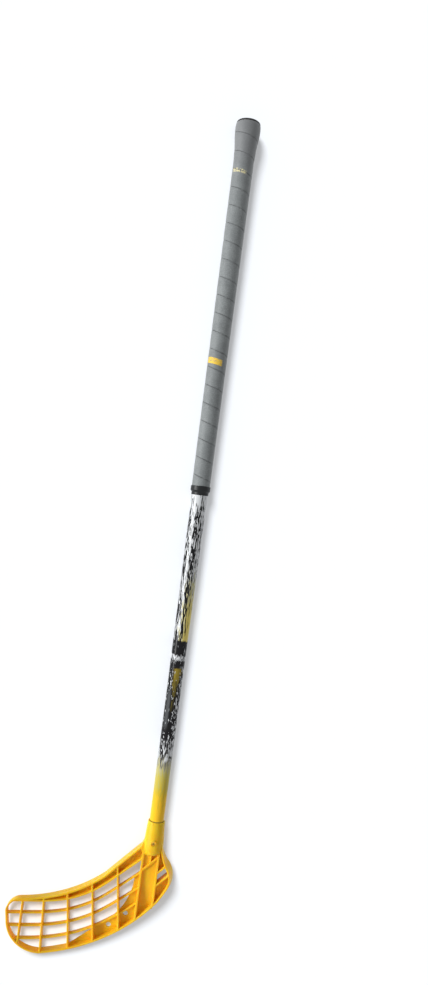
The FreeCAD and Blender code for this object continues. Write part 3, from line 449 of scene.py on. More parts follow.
def lower_paint(finish, look, above):
    """Black with a gilded stripe, a painted grey highlight, white specks and scratches, and a yellow foot."""
    nodes, along, across = finish.nodes, finish.along, finish.across
    narrowing = nodes.times(nodes.fade(along, *STRIPE_TAPER), 2.2)
    wandering = nodes.plus(across, finish.ragged(10.0))
    off_stripe = nodes.plus(nodes.math("ABSOLUTE", nodes.minus(wandering, STRIPE_MIDDLE)), narrowing)
    worn_end = nodes.plus(along, finish.ragged(110.0))
    reach = nodes.times(nodes.fade(worn_end, *STRIPE_END), nodes.fade(along, *STRIPE_TOP))
    near_stripe = nodes.times(nodes.fade(off_stripe, *STRIPE_SHADE_EDGE), reach)
    paint = nodes.mix(near_stripe, look.ink, STRIPE_SHADE)
    gilt = nodes.mix(nodes.fade(along, *STRIPE_WEAR), STRIPE_BRIGHT, STRIPE_WORN)
    mottle = nodes.times(finish.streaks(1.4, 6.0, 0.52, 0.04)["Mask"], nodes.fade(along, *MOTTLE_BELOW))
    gilt = nodes.mix(mottle, gilt, STRIPE_MOTTLE)
    on_stripe = nodes.times(nodes.fade(off_stripe, *STRIPE_EDGE), reach)
    paint = nodes.mix(on_stripe, paint, gilt)
    # Painted highlight: grey on the dark paint beside the gilded stripe, towards the toe, with fewer specks.
    gloss = nodes.times(nodes.window(across, *PAINTED_HIGHLIGHT_SIDE), nodes.window(along, *PAINTED_HIGHLIGHT))
    paint = nodes.mix(gloss, paint, PAINTED_HIGHLIGHT_GREY)
    speck_level = nodes.minus(0.645, nodes.times(nodes.fade(across, *SPECK_SIDE), 0.09))
    speck_level = nodes.plus(speck_level, nodes.times(nodes.math("MAXIMUM", gloss, on_stripe), 0.1))
    specks = nodes.edge(nodes.minus(finish.streaks(1.7, 5.0)["Raw"], speck_level), 0.012)
    paint = nodes.mix(nodes.times(specks, nodes.fade(along, *SPECKS_BELOW)), paint, look.silver)
    strokes = nodes.times(finish.streaks(1.3, 10.0, 0.545, 0.012)["Mask"], nodes.window(along, *STROKES))
    paint = nodes.mix(strokes, paint, look.silver)
    way_down = nodes.plus(nodes.minus(FOOT_TOP, along), finish.ragged(60.0))
    foot = nodes.ramp(nodes.math("DIVIDE", way_down, FOOT_LENGTH),
                      [(0.0, look.ink), *FOOT_COLOURS, (1.0, look.yellow)])
    beside_strokes = nodes.between(strokes, 1.0, nodes.fade(along, *FOOT_CLEAR))
    paint = nodes.mix(nodes.times(nodes.fade(way_down, 0.0, 14.0), beside_strokes), paint, foot)
    # Painted shadow: a dark line on the shaft just above the socket's mouth.
    paint = nodes.mix(nodes.fade(along, *MOUTH_PAINTED_SHADOW_FADE), paint, MOUTH_PAINTED_SHADOW)
    return nodes.mix(nodes.fade(along, *BAND_FOOT), above, paint)


# Greys of the grip's speckle, of painted shade at its seams, and of the stretch near the knob worn by hands.
SPECKLE_DARK, SPECKLE_PALE = (0.10, 0.108, 0.112), (0.36, 0.38, 0.38)
SEAM_PAINTED_SHADE, HANDLED_GREY, HANDLED_ABOVE = (0.045, 0.05, 0.052), (0.155, 0.158, 0.165), (845.0, 905.0)
# Printed bars on the grip's front: slope, left end, then each one's middle, half height, right end and wear.
BAR_SLOPE, BAR_LEFT = 0.19, -11.5
LOWER_BAR, UPPER_BAR = (610.8, 4.0, 5.5, 0.60), (862.6, 2.4, 4.5, 0.52)


def grip_finish(look):
    """Soft grey strip: fuzzy speckle, pressed grain, painted shade at the seams, and two plain worn bars."""
    finish = Finish("grip_strip", Specular_IOR_Level=0.4, Sheen_Weight=0.3, Sheen_Roughness=0.5)
    nodes = finish.nodes
    grain = finish.grain(0.55)
    speckle = nodes.noise(finish.position, 0.9, detail=4.0, roughness=0.7)
    shade = nodes.mix(nodes.fade(grain["Patches"], 0.35, 0.65), look.dark, look.pale)
    shade = nodes.mix(nodes.times(nodes.fade(speckle, 0.48, 0.66), 0.45), shade, SPECKLE_DARK)
    shade = nodes.mix(nodes.times(nodes.fade(speckle, 0.50, 0.34), 0.35), shade, SPECKLE_PALE)
    # Painted shade beside the seams, where the grooves between the turns lie.
    shade = nodes.mix(seam_painted_shade(finish, look), shade, SEAM_PAINTED_SHADE)
    shade = nodes.mix(nodes.times(nodes.fade(finish.along, *HANDLED_ABOVE), 0.6), shade, HANDLED_GREY)
    shade = nodes.mix(worn_bar(finish, *LOWER_BAR), shade, look.bar)
    finish.feed("Base Color", nodes.mix(worn_bar(finish, *UPPER_BAR), shade, look.pale_bar))
    finish.rough(0.5, 0.18, grain["Patches"])
    finish.bump(grain["Height"], 0.4, 0.14)
    return finish.material


def strip_pitch(look):
    """How far the grip's strip sinks in one turn."""
    return (look.top - look.bottom + look.gap) / (look.turns + 1 - look.start)


def seam_painted_shade(finish, look):
    """Share of painted shade beside the strip's seams, which run down by one pitch a turn, broken up by a noise.
    """
    nodes, pitch = finish.nodes, strip_pitch(look) / MM
    first_edge = (look.top + look.gap) / MM - pitch * (1 - look.start + look.phase)
    angle = nodes.math("ARCTAN2", finish.across, finish.depth)
    wound = nodes.plus(finish.along, nodes.times(angle, pitch / FULL_TURN))
    turn_share = nodes.math("FRACT", nodes.math("DIVIDE", nodes.minus(wound, first_edge), pitch))
    from_middle = nodes.math("ABSOLUTE", nodes.minus(turn_share, 0.5))
    broken = nodes.fade(nodes.noise(finish.position, 0.22, detail=1.0), 0.40, 0.52)
    return nodes.times(nodes.fade(from_middle, 0.45, 0.49), nodes.between(broken, 0.05, 0.35))


def worn_bar(finish, middle, half, right, wear):
    """Mask of a slanting printed bar on the grip's front, worn off in spots."""
    nodes = finish.nodes
    slanted = nodes.plus(finish.along, nodes.times(finish.across, BAR_SLOPE))
    distance = nodes.math("ABSOLUTE", nodes.minus(slanted, middle))
    printed = nodes.times(nodes.fade(distance, half + 0.3, half - 0.3),
                          nodes.window(finish.across, BAR_LEFT - 1, BAR_LEFT, right, right + 2))
    kept = nodes.fade(nodes.noise(finish.position, 0.55), wear + 0.05, wear - 0.05)
    return nodes.times(nodes.times(printed, kept), nodes.fade(finish.depth, 0.0, 1.5))


def band_finish(look):
    """Black stretched tape with a slight sheen and fine lines round it from the pull."""
    finish = Finish("closing_tape", Base_Color=opaque(look.colour), Specular_IOR_Level=0.22)
    lines = finish.streaks(6.0, 0.5)["Raw"]
    finish.rough(0.30, 0.2, lines)
    finish.bump(lines, 0.3, 0.1)
    return finish.material


def knob_finish(look):
    """Black moulded rubber with a matt spark grain."""
    finish = Finish("knob_rubber", Base_Color=opaque(look.colour), Specular_IOR_Level=0.25)
    grain = finish.grain(0.4)
    finish.rough(0.5, 0.2, grain["Patches"])
    finish.bump(grain["Height"], 0.3, 0.08)
    return finish.material


def blade_finish(look):
    """Yellow moulded plastic: soft sheen, faint grain, slow warmer patches, worn edges with a painted highlight.
    """
    finish = Finish("blade_plastic", Specular_IOR_Level=0.16, Subsurface_Weight=0.75,
                    Subsurface_Radius=(1.0, 0.5, 0.1), Subsurface_Scale=0.006)
    nodes = finish.nodes
    grain = finish.grain(0.45)
    shade = nodes.mix(nodes.fade(grain["Patches"], 0.3, 0.7), look.colour, look.warm)
    sharpness = nodes.add("ShaderNodeNewGeometry").outputs["Pointiness"]
    edge_wear_and_highlight = nodes.fade(nodes.noise(finish.position, 0.25, detail=3.0), 0.38, 0.62)
    # Sharp edges in patches: rougher from wear, and paler as a painted highlight.
    worn = nodes.times(nodes.fade(sharpness, 0.51, 0.58), edge_wear_and_highlight)
    finish.feed("Base Color", nodes.mix(nodes.times(worn, 0.5), shade, look.edge_wear_and_highlight))
    gloss = nodes.plus(0.28, nodes.times(grain["Patches"], 0.2))
    finish.feed("Roughness", nodes.plus(gloss, nodes.times(worn, 0.15)))
    finish.bump(grain["Height"], 0.12, 0.06)
    return finish.material


# Depth of each screw below the socket's mouth in millimetres, and its side: 1 on the hollow face, -1 behind.
FRONT_DEPTH, REAR_DEPTH = 26.0, 12.0
SCREWS = ((FRONT_DEPTH, 1), (REAR_DEPTH, -1))


def screw_finish(look):
    """Yellow-plated steel with a fine grain, and painted shade in the recess of the head."""
    finish = Finish("screw_steel", Metallic=1.0)
    nodes = finish.nodes
    in_front = nodes.math("GREATER_THAN", finish.depth, 0.0)
    height = nodes.plus(finish.along, nodes.between(in_front, REAR_DEPTH, FRONT_DEPTH))
    off_axis = nodes.add("ShaderNodeCombineXYZ", {0: finish.across, 1: height}).outputs[0]
    radius = nodes.add("ShaderNodeVectorMath", {0: off_axis}, operation="LENGTH").outputs["Value"]
    # Painted shade: darker towards the head's middle, where its recess lies.
    finish.feed("Base Color", nodes.mix(nodes.fade(radius, 1.1, 2.0), look.recess, look.colour))
    grain = finish.grain(0.3)
    finish.rough(0.38, 0.12, grain["Height"])
    finish.bump(grain["Height"], 0.1, 0.03)
    return finish.material


def number(name, description, default, **settings):
    return FloatProperty(name=name, description=description, default=default, **settings)


def size(name, description, default):
    """Length, with its default in millimetres."""
    return number(name, description, default * MM, unit="LENGTH", precision=5)


def tint(name, description, default):
    return FloatVectorProperty(name=name, description=description, default=default, subtype="COLOR",
                               min=0.0, max=1.0)


def direction(name, default):
    return FloatVectorProperty(name=name, description="Towards it: right, up and forward in the picture",
                               default=default, subtype="DIRECTION")


class ShaftLook(bpy.types.PropertyGroup):
    tip_radius: size("Tip Radius", "Outside radius of the straight lower stretch", 9.45)
    neck_radius: size("Neck Radius", "Outside radius where the grip begins", 10.6)
    top_radius: size("Top Radius", "Outside radius at the top end", 12.2)
    wall: size("Wall", "Wall of the tube", 1.2)
    tip: size("Tip", "Height of the end inside the socket", -41.5)
    straight: size("Straight", "Height where the taper begins", 178)
    top: size("Top", "Height of the top end", 914)
    silver: tint("Silver", "Ground of the upper stretch", (0.65, 0.67, 0.69))
    ink: tint("Ink", "Dark marks and bands", (0.006, 0.006, 0.007))
    cream: tint("Cream", "Ground between the white and the gilded side", (0.70, 0.65, 0.36))
    olive: tint("Olive", "Upper end of the gilded side", (0.46, 0.44, 0.22))
    gold: tint("Gold", "Gilded side", (0.70, 0.57, 0.15))
    yellow: tint("Yellow", "Foot of the shaft at the blade", (0.90, 0.53, 0.02))


class GripLook(bpy.types.PropertyGroup):
    top: size("Top", "Height of the strip's upper end", 929)
    bottom: size("Bottom", "Height of the strip's lower end", 440.3)
    gap: size("Gap", "Gap between neighbouring turns", 0.3)
    thickness: size("Thickness", "Thickness of the strip", 1.35)
    crown: size("Crown", "Rise of the strip's middle over its edges", 0.25)
    edge: size("Edge", "Rounding of the strip's edges", 0.55)
    clearance: size("Clearance", "Air under the strip", 0.15)
    skirt: size("Skirt", "Height where the knob's flare begins", 890)
    skirt_radius: size("Skirt Radius", "Outside radius where the flare begins", 12.75)
    knob_radius: size("Knob Radius", "Outside radius at the top of the flare", 15.3)
    turns: IntProperty(name="Turns", description="Turns until the lower edge reaches the end", default=20,
                       min=1)
    start: number("Start", "Part of a turn that the upper edge takes to reach full width", 0.5)
    phase: number("Phase", "Part of a turn by which the strip starts before the face", 0.28)
    pale: tint("Pale", "Paler patches of the strip", (0.197, 0.214, 0.217))
    dark: tint("Dark", "Darker patches of the strip", (0.160, 0.175, 0.179))
    bar: tint("Bar", "Printed bar on the lower half", (0.80, 0.52, 0.04))
    pale_bar: tint("Pale Bar", "Printed bar near the knob", (0.66, 0.60, 0.34))


class BandLook(bpy.types.PropertyGroup):
    bottom: size("Bottom", "Lower edge of the tape", 434.4)
    top: size("Top", "Upper edge of the tape", 446.4)
    thickness: size("Thickness", "Thickness of the wound tape", 0.5)
    ply: size("Ply", "Step at the tape's free end", 0.2)
    colour: tint("Colour", "Colour of the tape", (0.009, 0.010, 0.011))


class KnobLook(bpy.types.PropertyGroup):
    stem: size("Stem", "Height of the stem's lower end", 860)
    stem_bore: size("Stem Bore", "Radius of the hollow in the stem", 8.6)
    stem_roof: size("Stem Roof", "Upper end of the hollow", 905)
    cap_radius: size("Cap Radius", "Radius of the end disc", 15.9)
    cap_height: size("Cap Height", "Thickness of the end disc", 3.2)
    cap_round: size("Cap Rounding", "Rounding of the end disc", 2.8)
    colour: tint("Colour", "Colour of the knob", (0.018, 0.018, 0.018))


class BladeLook(bpy.types.PropertyGroup):
    rim_width: size("Rim Width", "Width of the rim's face", 2.4)
    rib_width: size("Rib Width", "Width of the ribs and slats", 2.2)
    strong_width: size("Strong Rib Width", "Width of the two strong ribs and the brace", 3.0)
    rounding: size("Rounding", "Rounding of the rim's and ribs' edges", 0.6)
    heel_lean: size("Heel Lean", "How far the heel's outer wall leans in towards the hollow face", 2.8)
    nape_lean: size("Nape Lean", "How much further it leans in above the heel", 1.0)
    half_depth: size("Half Depth", "Half the blade's depth at the heel", 7.5)
    rib_sink: size("Rib Sink", "How far the ribs' faces lie below the rim's", 0.08)
    slat_half_depth: size("Slat Half Depth", "Half the depth of the slats", 3.0)
    web_half_depth: size("Web Half Depth", "Half the thickness of the closed webs", 1.2)
    web_drop: size("Web Drop", "Distance of the webs behind the blade's middle surface", 3.2)
    front_radius: size("Front Hook Radius", "Hook radius of the hollow face", 715)
    back_radius: size("Back Hook Radius", "Hook radius of the back", 560)
    middle_radius: size("Middle Hook Radius", "Hook radius of the middle surface", 636)
    slat_spacing: number("Slat Spacing", "Share of the open height between slats", 0.2425)
    colour: tint("Colour", "Main colour of the plastic", (0.95, 0.555, 0.02))
    warm: tint("Warm", "Warmer patches of the plastic", (0.93, 0.49, 0.015))
    # Paler colour of the worn edges: a painted highlight.
    edge_wear_and_highlight: tint("Edge Wear And Highlight", "Worn edges", (0.95, 0.72, 0.16))


class ScrewLook(bpy.types.PropertyGroup):
    colour: tint("Colour", "Colour of the plated steel", (0.80, 0.52, 0.09))
    # Darker colour in the head's recess: painted shade.
    recess: tint("Recess", "Colour in the recess of the head", (0.32, 0.21, 0.04))


class StageLook(bpy.types.PropertyGroup):
    distance: size("Distance", "Camera distance from the shaft line", 1080)
    centre_side: size("Centre Side", "Where the camera points, across the shaft", 18.4)
    centre_along: size("Centre Along", "Where the camera points, along the shaft", 440.3)
    view_height: size("View Height", "Height of the picture at the shaft line", 1305.1)
    tilt: number("Tilt", "Turn of the picture about the line of sight", 0.13138, subtype="ANGLE")
    key_strength: number("Key Strength", "Strength of the object's light", 3.35)
    key_size: number("Key Size", "Angle that it spans", 0.5, subtype="ANGLE")
    key_way: direction("Key Direction", (-0.862, 0.12, 0.492))
    floor_strength: number("Floor Strength", "Strength of the floor's light", 4.0)
    floor_size: number("Floor Size", "Angle that it spans", 0.34, subtype="ANGLE")
    floor_way: direction("Floor Direction", (-0.186, 0.64, 0.745))
    ambient: number("Ambient", "Light from all round", 0.42)
    floor_glow: number("Floor Glow", "White added to the floor where it is seen", 0.26)


ROUND_SECTORS = 128


class STICK_OT_shaft(bpy.types.Operator):
    """Makes the lacquered tube"""

    bl_idname = "stick.shaft"
    bl_label = "Shaft"

    def execute(self, context):
        look, grip = context.scene.stick_shaft, context.scene.stick_grip
        edge_rounding = 0.3 * MM
        outside = [(look.tip_radius, look.tip), (look.tip_radius, look.straight),
                   (look.neck_radius, grip.bottom), (look.top_radius, look.top)]
        bore = [(radius - look.wall, height) for radius, height in reversed(outside)]
        mesh = turned_mesh("shaft_tube", rounded(outside + bore, edge_rounding), ROUND_SECTORS)
        shaft = add_piece("shaft_tube", mesh, "stick", shaft_finish(look))
        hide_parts("shaft")
        return {"FINISHED"}


class STICK_OT_grip(bpy.types.Operator):
    """Winds the soft strip down the upper shaft"""

    bl_idname = "stick.grip"
    bl_label = "Grip"

    def execute(self, context):
        look = context.scene.stick_grip
        mesh = swept_mesh("grip_strip", grip_points(look, context.scene.stick_shaft), False)
        strip = add_piece("grip_strip", mesh, "stick", grip_finish(look))
        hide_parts("grip_tape")
        return {"FINISHED"}


def under_grip(look, shaft, height):
    """Radius that the strip lies on: the tapered tube, or the knob's flare where that is wider."""
    taper = (shaft.top_radius - shaft.neck_radius) / (shaft.top - look.bottom)
    return np.maximum(shaft.neck_radius + taper * (height - look.bottom), knob_flare(look, height))


def knob_flare(look, height):
    """Radius of the knob's outside: a straight lead-in, a smooth step and a quadratic draw-in at the end."""
    lead_in, draw_in, draw_in_height = 0.065, 0.6 * MM, 8 * MM
    widest = look.top - draw_in_height
    rise = (look.knob_radius - look.skirt_radius) * smooth_step(height, look.skirt, widest)
    drawn = draw_in * np.clip((height - widest) / draw_in_height, 0, 1) ** 2
    return look.skirt_radius + rise - lead_in * np.maximum(0, look.skirt - height) - drawn


def grip_points(look, shaft):
    """Sections of the wound strip. At turn t it lies between an upper and a lower edge that both sink by one
    pitch a turn, cut off at the grip's ends. Across it the outside is a low crown with rounded edges."""
    steps_per_turn, edge_points, middle_points, least_width = 72, 5, 7, 1e-9
    pitch = strip_pitch(look)
    width = pitch - look.gap
    turn = np.linspace(0, look.turns + look.start, steps_per_turn * look.turns)[:, None]
    sunk = look.top - (width - look.start * pitch) - pitch * turn
    lower, upper = np.maximum(look.bottom, sunk), np.minimum(look.top, sunk + width)
    full = upper - lower
    near_edge = 0.5 * np.linspace(0, 1, edge_points) ** 1.5 * np.minimum(look.edge * 2, full / 3)
    middle = lower + full * np.linspace(0.15, 0.85, middle_points)
    across = np.sort(np.concatenate([lower + near_edge, middle, upper - near_edge[:, ::-1]], axis=1), axis=1)
    from_edge = np.minimum(across - lower, upper - across)
    shoulder = quarter_round(np.clip(from_edge / np.minimum(look.edge, full / 4), 0, 1))
    off_middle = 2 * (across - lower) / np.maximum(full, least_width) - 1
    rise = look.thickness * (0.6 + 0.4 * shoulder) - look.crown * off_middle ** 2 / 2
    seat = under_grip(look, shaft, across) + look.clearance
    radius = np.concatenate([seat + rise, seat[:, ::-1]], axis=1)
    height = np.concatenate([across, across[:, ::-1]], axis=1)
    return around_shaft(radius, height, FULL_TURN * (turn - look.phase))


class STICK_OT_band(bpy.types.Operator):
    """Wraps the black closing tape over the grip's lower end"""

    bl_idname = "stick.band"
    bl_label = "Closing Band"

    def execute(self, context):
        look, grip, shaft = context.scene.stick_band, context.scene.stick_grip, context.scene.stick_shaft
        mesh = swept_mesh("closing_band", band_points(look, grip, shaft), True)
        band = add_piece("closing_band", mesh, "stick", band_finish(look))
        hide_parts("finishing_tape")
        return {"FINISHED"}


def band_points(look, grip, shaft):
    """Sections of the tape. Its radius steps smoothly from the shaft onto the grip, a free end stands proud
    along a slanting line, and a few slow waves show where the tape is drawn over the step."""
    sectors, rows, shaft_play, edge_rounding = 160, 25, 0.12 * MM, 0.35 * MM
    angle = FULL_TURN * np.arange(sectors)[:, None] / sectors
    height = np.linspace(look.bottom, look.top, rows)[None, :]
    step = smooth_step(height, grip.bottom - 2.6 * MM, grip.bottom + 0.4 * MM)
    seat = shaft.neck_radius + shaft_play + step * (grip.thickness + 3 * grip.clearance - 0.1 * MM)
    free_end = 0.9 + 0.35 * (height - look.bottom) / (look.top - look.bottom)
    past_end = np.mod(angle - free_end, FULL_TURN)
    ply = look.ply * (1 - smooth_step(past_end, 0, FULL_TURN)) * smooth_step(past_end, 0, 0.05)
    waves = np.sin(3 * angle + 0.6) + 0.6 * np.sin(7 * angle + 2.0) + 0.4 * np.sin(11 * angle + 4.0)
    drawn = 0.05 * MM * waves * np.exp(-((height - grip.bottom + 1.2 * MM) / (2.2 * MM)) ** 2)
    from_edge = np.minimum(height - look.bottom, look.top - height)
    rim = quarter_round(np.clip(from_edge / edge_rounding, 0, 1))
    outside = seat + (look.thickness + ply) * (0.45 + 0.55 * rim) + drawn
    under = np.broadcast_to(seat, outside.shape)[:, ::-1]
    ragged = 0.25 * MM * np.sin(2 * angle + 1.0) + 0.12 * MM * np.sin(5 * angle)
    heights = height + ragged * smooth_step(height, look.bottom + 4 * MM, look.top)
    return around_shaft(np.concatenate([outside, under], axis=1),
                        np.concatenate([heights, heights[:, ::-1]], axis=1), angle)


class STICK_OT_knob(bpy.types.Operator):
    """Makes the flared butt plug"""

    bl_idname = "stick.knob"
    bl_label = "Butt Knob"

    def execute(self, context):
        look, grip, shaft = context.scene.stick_knob, context.scene.stick_grip, context.scene.stick_shaft
        mesh = turned_mesh("butt_knob", knob_profile(look, grip, shaft), ROUND_SECTORS)
        knob = add_piece("butt_knob", mesh, "stick", knob_finish(look))
        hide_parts("end_knob")
        return {"FINISHED"}


def knob_profile(look, grip, shaft):
    """Profile of the plug from the roof of its hollow to its end: hollow stem, flared skirt, and an end disc
    with a quarter-round rim and one shallow ring."""
    play, ring_depth = 0.1 * MM, 0.35 * MM
    end = grip.top + look.cap_height
    bore = shaft.top_radius - shaft.wall - play
    taper = (shaft.top_radius - shaft.neck_radius) / (shaft.top - grip.bottom)
    stem = bore - taper * (shaft.top - look.stem)
    sleeve = shaft.top_radius + play
    height = np.linspace(grip.skirt, grip.top, 16)
    skirt = points_of(knob_flare(grip, height), height)
    turn = np.linspace(0, np.pi / 2, 9)
    rim = points_of(look.cap_radius - look.cap_round * (1 - np.cos(turn)),
                    end - look.cap_round * (1 - np.sin(turn)))
    ring = [(9.2 * MM, end), (8.9 * MM, end - ring_depth), (8.3 * MM, end - ring_depth), (8.0 * MM, end)]
    return [(0, look.stem_roof), (look.stem_bore, look.stem_roof), (look.stem_bore, look.stem),
            (stem, look.stem), (bore, shaft.top + play), (sleeve, shaft.top + play), (sleeve, grip.skirt),
            *skirt, (skirt[-1, 0], grip.top + play), (look.cap_radius, grip.top + play), *rim, *ring,
            (0, end)]


class STICK_OT_blade(bpy.types.Operator):
    """Builds the moulded blade from its rim, ribs, slats, webs and socket"""

    bl_idname = "stick.blade"
    bl_label = "Blade"

    def execute(self, context):
        look = context.scene.stick_blade
        plan = BladePlan(look)
        meshes = [*plan.frame_meshes(), *plan.slat_meshes(), *plan.web_meshes(), *plan.socket_meshes()]
        mesh = united_mesh("blade_moulding", meshes, plan.cutter_meshes())
        blade = add_piece("blade_moulding", mesh, "stick", blade_finish(look))
        settle = blade.modifiers.new("even_shading", "WEIGHTED_NORMAL")
        settle.keep_sharp = True
        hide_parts("blade")
        return {"FINISHED"}


# All places of the blade are in millimetres of the stick's frame.
# Its outline: each corner, and the radius of the arc that leads to it, positive where the arc turns left and
# 0 for a straight run. The run to the corner SOLE_END is the sole.
BLADE_OUTLINE = (
    (-12.3, -24.1, 0), (-17.2, -35.6, -16), (-58, -77.5, 0), (-162, -112.8, -160), (-178, -128.8, 16),
    (-176, -142, 0), (-130, -184.6, 48.6), (18.9, -100, 210), (23.2, -54.2, 32), (12.5, -34, -45),
    (11.6, -30, 0), (0, -27, 0))
SOLE_END = 7
# Upright ribs: place across at the rib level, and lean from the shaft line in degrees. They reach as far up
# as down from that level, until the rim cuts them off.
BLADE_RIBS = ((-158.2, 0.0), (-131.2, 2.5), (-99.6, 7.0), (-67.4, 7.5), (-33.9, 7.7))
RIB_LEVEL, RIB_REACH = -130.0, 90.0
# Strong ribs: places across, lower and upper end. Brace between them: its height at each.
SPAR, STRUT, SPAR_LOW, SPAR_HIGH = -11.6, 9.0, -150.0, -33.0
BRACE_LOW, BRACE_HIGH = -66.1, -46.0
# Short rib under the socket: place across, lower and upper end.
STAY, STAY_LOW, STAY_HIGH = -1.0, -56.0, -36.0
# Heel slats: heights at the strut, from which they climb at 45 degrees, and how far across they run.
HEEL_SLATS, HEEL_REACH = (-67.7, -84.4), 30.0
# Top slat: where it bends, where it is level, and its slope up to the socket.
TOP_BEND, TOP_LEVEL, TOP_SLOPE = (-50.0, -83.5), (-148.0, -116.0), 33.7 / 38.4
# Where all the slats begin.
TOE = -178.0
# Gusset beside the socket: corners of its flank, and the place and heights of its edge inside the socket.
GUSSET_FLANK = ((-12.0, -42.8), (-16.4, -36.5), (-14.4, -31.0), (-11.8, -25.5))
GUSSET_EDGE, GUSSET_LOW, GUSSET_HIGH = -3.0, -45.5, -25.5
# Upper edge of the lower web: its corners, and the radius of its curved middle run. Top of the middle web.
WEB_EDGE, WEB_RADIUS = ((-96, -176), (-48, -139.5), (-19.4, -80.4), (SPAR + 0.5, -69.6)), 75.4
MIDDLE_WEB_TOP = -42.0
# Upper web: its start, and the stretch of rim that bounds it, left of an end and above a foot.
UPPER_WEB_START, TOP_RIM_END, TOP_RIM_FOOT = -165.0, -12.0, -129.0
# Heel webs: their end, and the stretch of rim that bounds them, right of a start and below a top.
HEEL_WEB_END, HEEL_RIM_START, HEEL_RIM_TOP = 29.0, 8.5, -31.0
# Least height of the upper web and the heel webs.
LEAST_WEB = 0.5
# Lean of the heel's outer wall: where it starts and is full. Lean of the nape: its side, middle and spread.
HEEL_LEAN_START, HEEL_LEAN_FULL = 15.0, 26.0
NAPE_SIDE, NAPE_MIDDLE, NAPE_SPREAD = 8.0, -54.0, 12.0
OUTLINE_POINTS, BAR_POINTS, SLAT_POINTS = 560, 240, 200
# Sloped core between the strong ribs: heights, and the levels of its front and back there.
CORE_LOW, CORE_BEND, CORE_HIGH = -119.0, -84.0, -44.0
CORE_FRONT, CORE_BACK = (-2.6, 3.6, 4.8), (-2.9, -4.8)
# Floors of the two pockets under the socket: shallow on the toe side of the stay, deep on its heel side.
SHALLOW_POCKET, DEEP_POCKET, POCKET_TOP = 4.4, 1.2, -40.0
# Drop of the blade's faces into the socket, and the heights between which they fall.
SHOULDER_DROP, SHOULDER_LOW, SHOULDER_HIGH = 4.5, -37.0, -24.5
# Socket, boss, bore, screw seat and vent as (radius, height) profiles.
SOCKET_MOUTH = ((0, 0), (10.3, 0), (10.7, -0.12), (11.0, -0.5), (11.2, -1.3))
SOCKET_END = ((13.2, -36), (13.0, -38), (12.5, -40), (11.6, -41.8), (10.2, -43.1), (8.0, -43.8), (0, -44))
SOCKET_WIDENING, SOCKET_CONE, SOCKET_ROWS = 2.0, 28.7, 40
BOSS = ((0, 9.0), (4.9, 9.0), (4.75, 12.1), (4.35, 12.65), (4.05, 13.05), (3.85, 13.5), (3.75, 13.85),
        (3.66, 14.05), (3.45, 14.2), (0, 14.2))
BORE = ((0, -41.6), (9.55, -41.6), (9.55, -1.2), (9.85, -0.3), (9.95, 3), (0, 3))
SEAT = ((0, 0), (1.8, 0), (1.8, 12), (3.2, 12), (3.2, 14.0), (3.35, 14.3), (3.35, 16), (0, 16))
VENT, VENT_PLACES = ((0, -12), (3.3, -12), (3.3, 12), (0, 12)), ((-45.5, -145.7), (-25.2, -128.6))
BOSS_SECTORS, HOLE_SECTORS = 48, 40


def run_points(start, end, radius, count):
    """Points from start up to, but without, end: along the chord, or along an arc, whose points are its
    centre plus its radius times a spoke. The spoke swings from half the arc's angle on one side of its middle
    to the other."""
    chord = end - start
    span = np.linalg.norm(chord)
    share = np.linspace(0, 1, count, endpoint=False)[:, None]
    if radius == 0:
        return start + share * chord
    half_angle = np.arcsin(span / 2 / abs(radius))
    middle = np.array([chord[1], -chord[0]]) / span * np.sign(radius)
    centre = start + chord / 2 - middle * abs(radius) * np.cos(half_angle)
    swing = (2 * share - 1) * half_angle * np.sign(radius)
    sideways = np.array([-middle[1], middle[0]])
    return centre + abs(radius) * (np.cos(swing) * middle + np.sin(swing) * sideways)


def even_outline(count):
    """Evenly spaced points round the blade's outline, and the unit vectors that point inwards there."""
    run_count = 80
    corners = np.array(BLADE_OUTLINE) * MM
    runs = [run_points(before[:2], after[:2], after[2], run_count)
            for before, after in zip(np.roll(corners, 1, axis=0), corners)]
    closed = np.concatenate([*runs, runs[0][:1]])
    distance = np.concatenate([[0], np.cumsum(np.linalg.norm(np.diff(closed, axis=0), axis=1))])
    place = np.linspace(0, distance[-1], count, endpoint=False)
    points = points_of(*(np.interp(place, distance, line) for line in closed.T))
    return points, left_of(np.roll(points, -1, axis=0) - np.roll(points, 1, axis=0))


def left_of(way):
    """Unit vectors a quarter turn to the left of each way."""
    return points_of(-way[:, 1], way[:, 0]) / np.linalg.norm(way, axis=1)[:, None]


def within(outline, points):
    """Whether each point lies in the outline: a ray from it to the right crosses an odd number of edges."""
    x, y = points[:, :1], points[:, 1:]
    (ax, ay), (bx, by) = outline.T, np.roll(outline, -1, axis=0).T
    rise = np.where(by == ay, 1, by - ay)
    crossed = ((ay > y) != (by > y)) & (x < ax + (y - ay) * (bx - ax) / rise)
    return np.count_nonzero(crossed, axis=1) % 2 == 1


def hook(x, radius):
    """Rise of the hooked blade: flat on the heel side, and a circle of the given radius towards the toe."""
    return radius - np.sqrt(radius ** 2 - np.minimum(x, 0) ** 2)


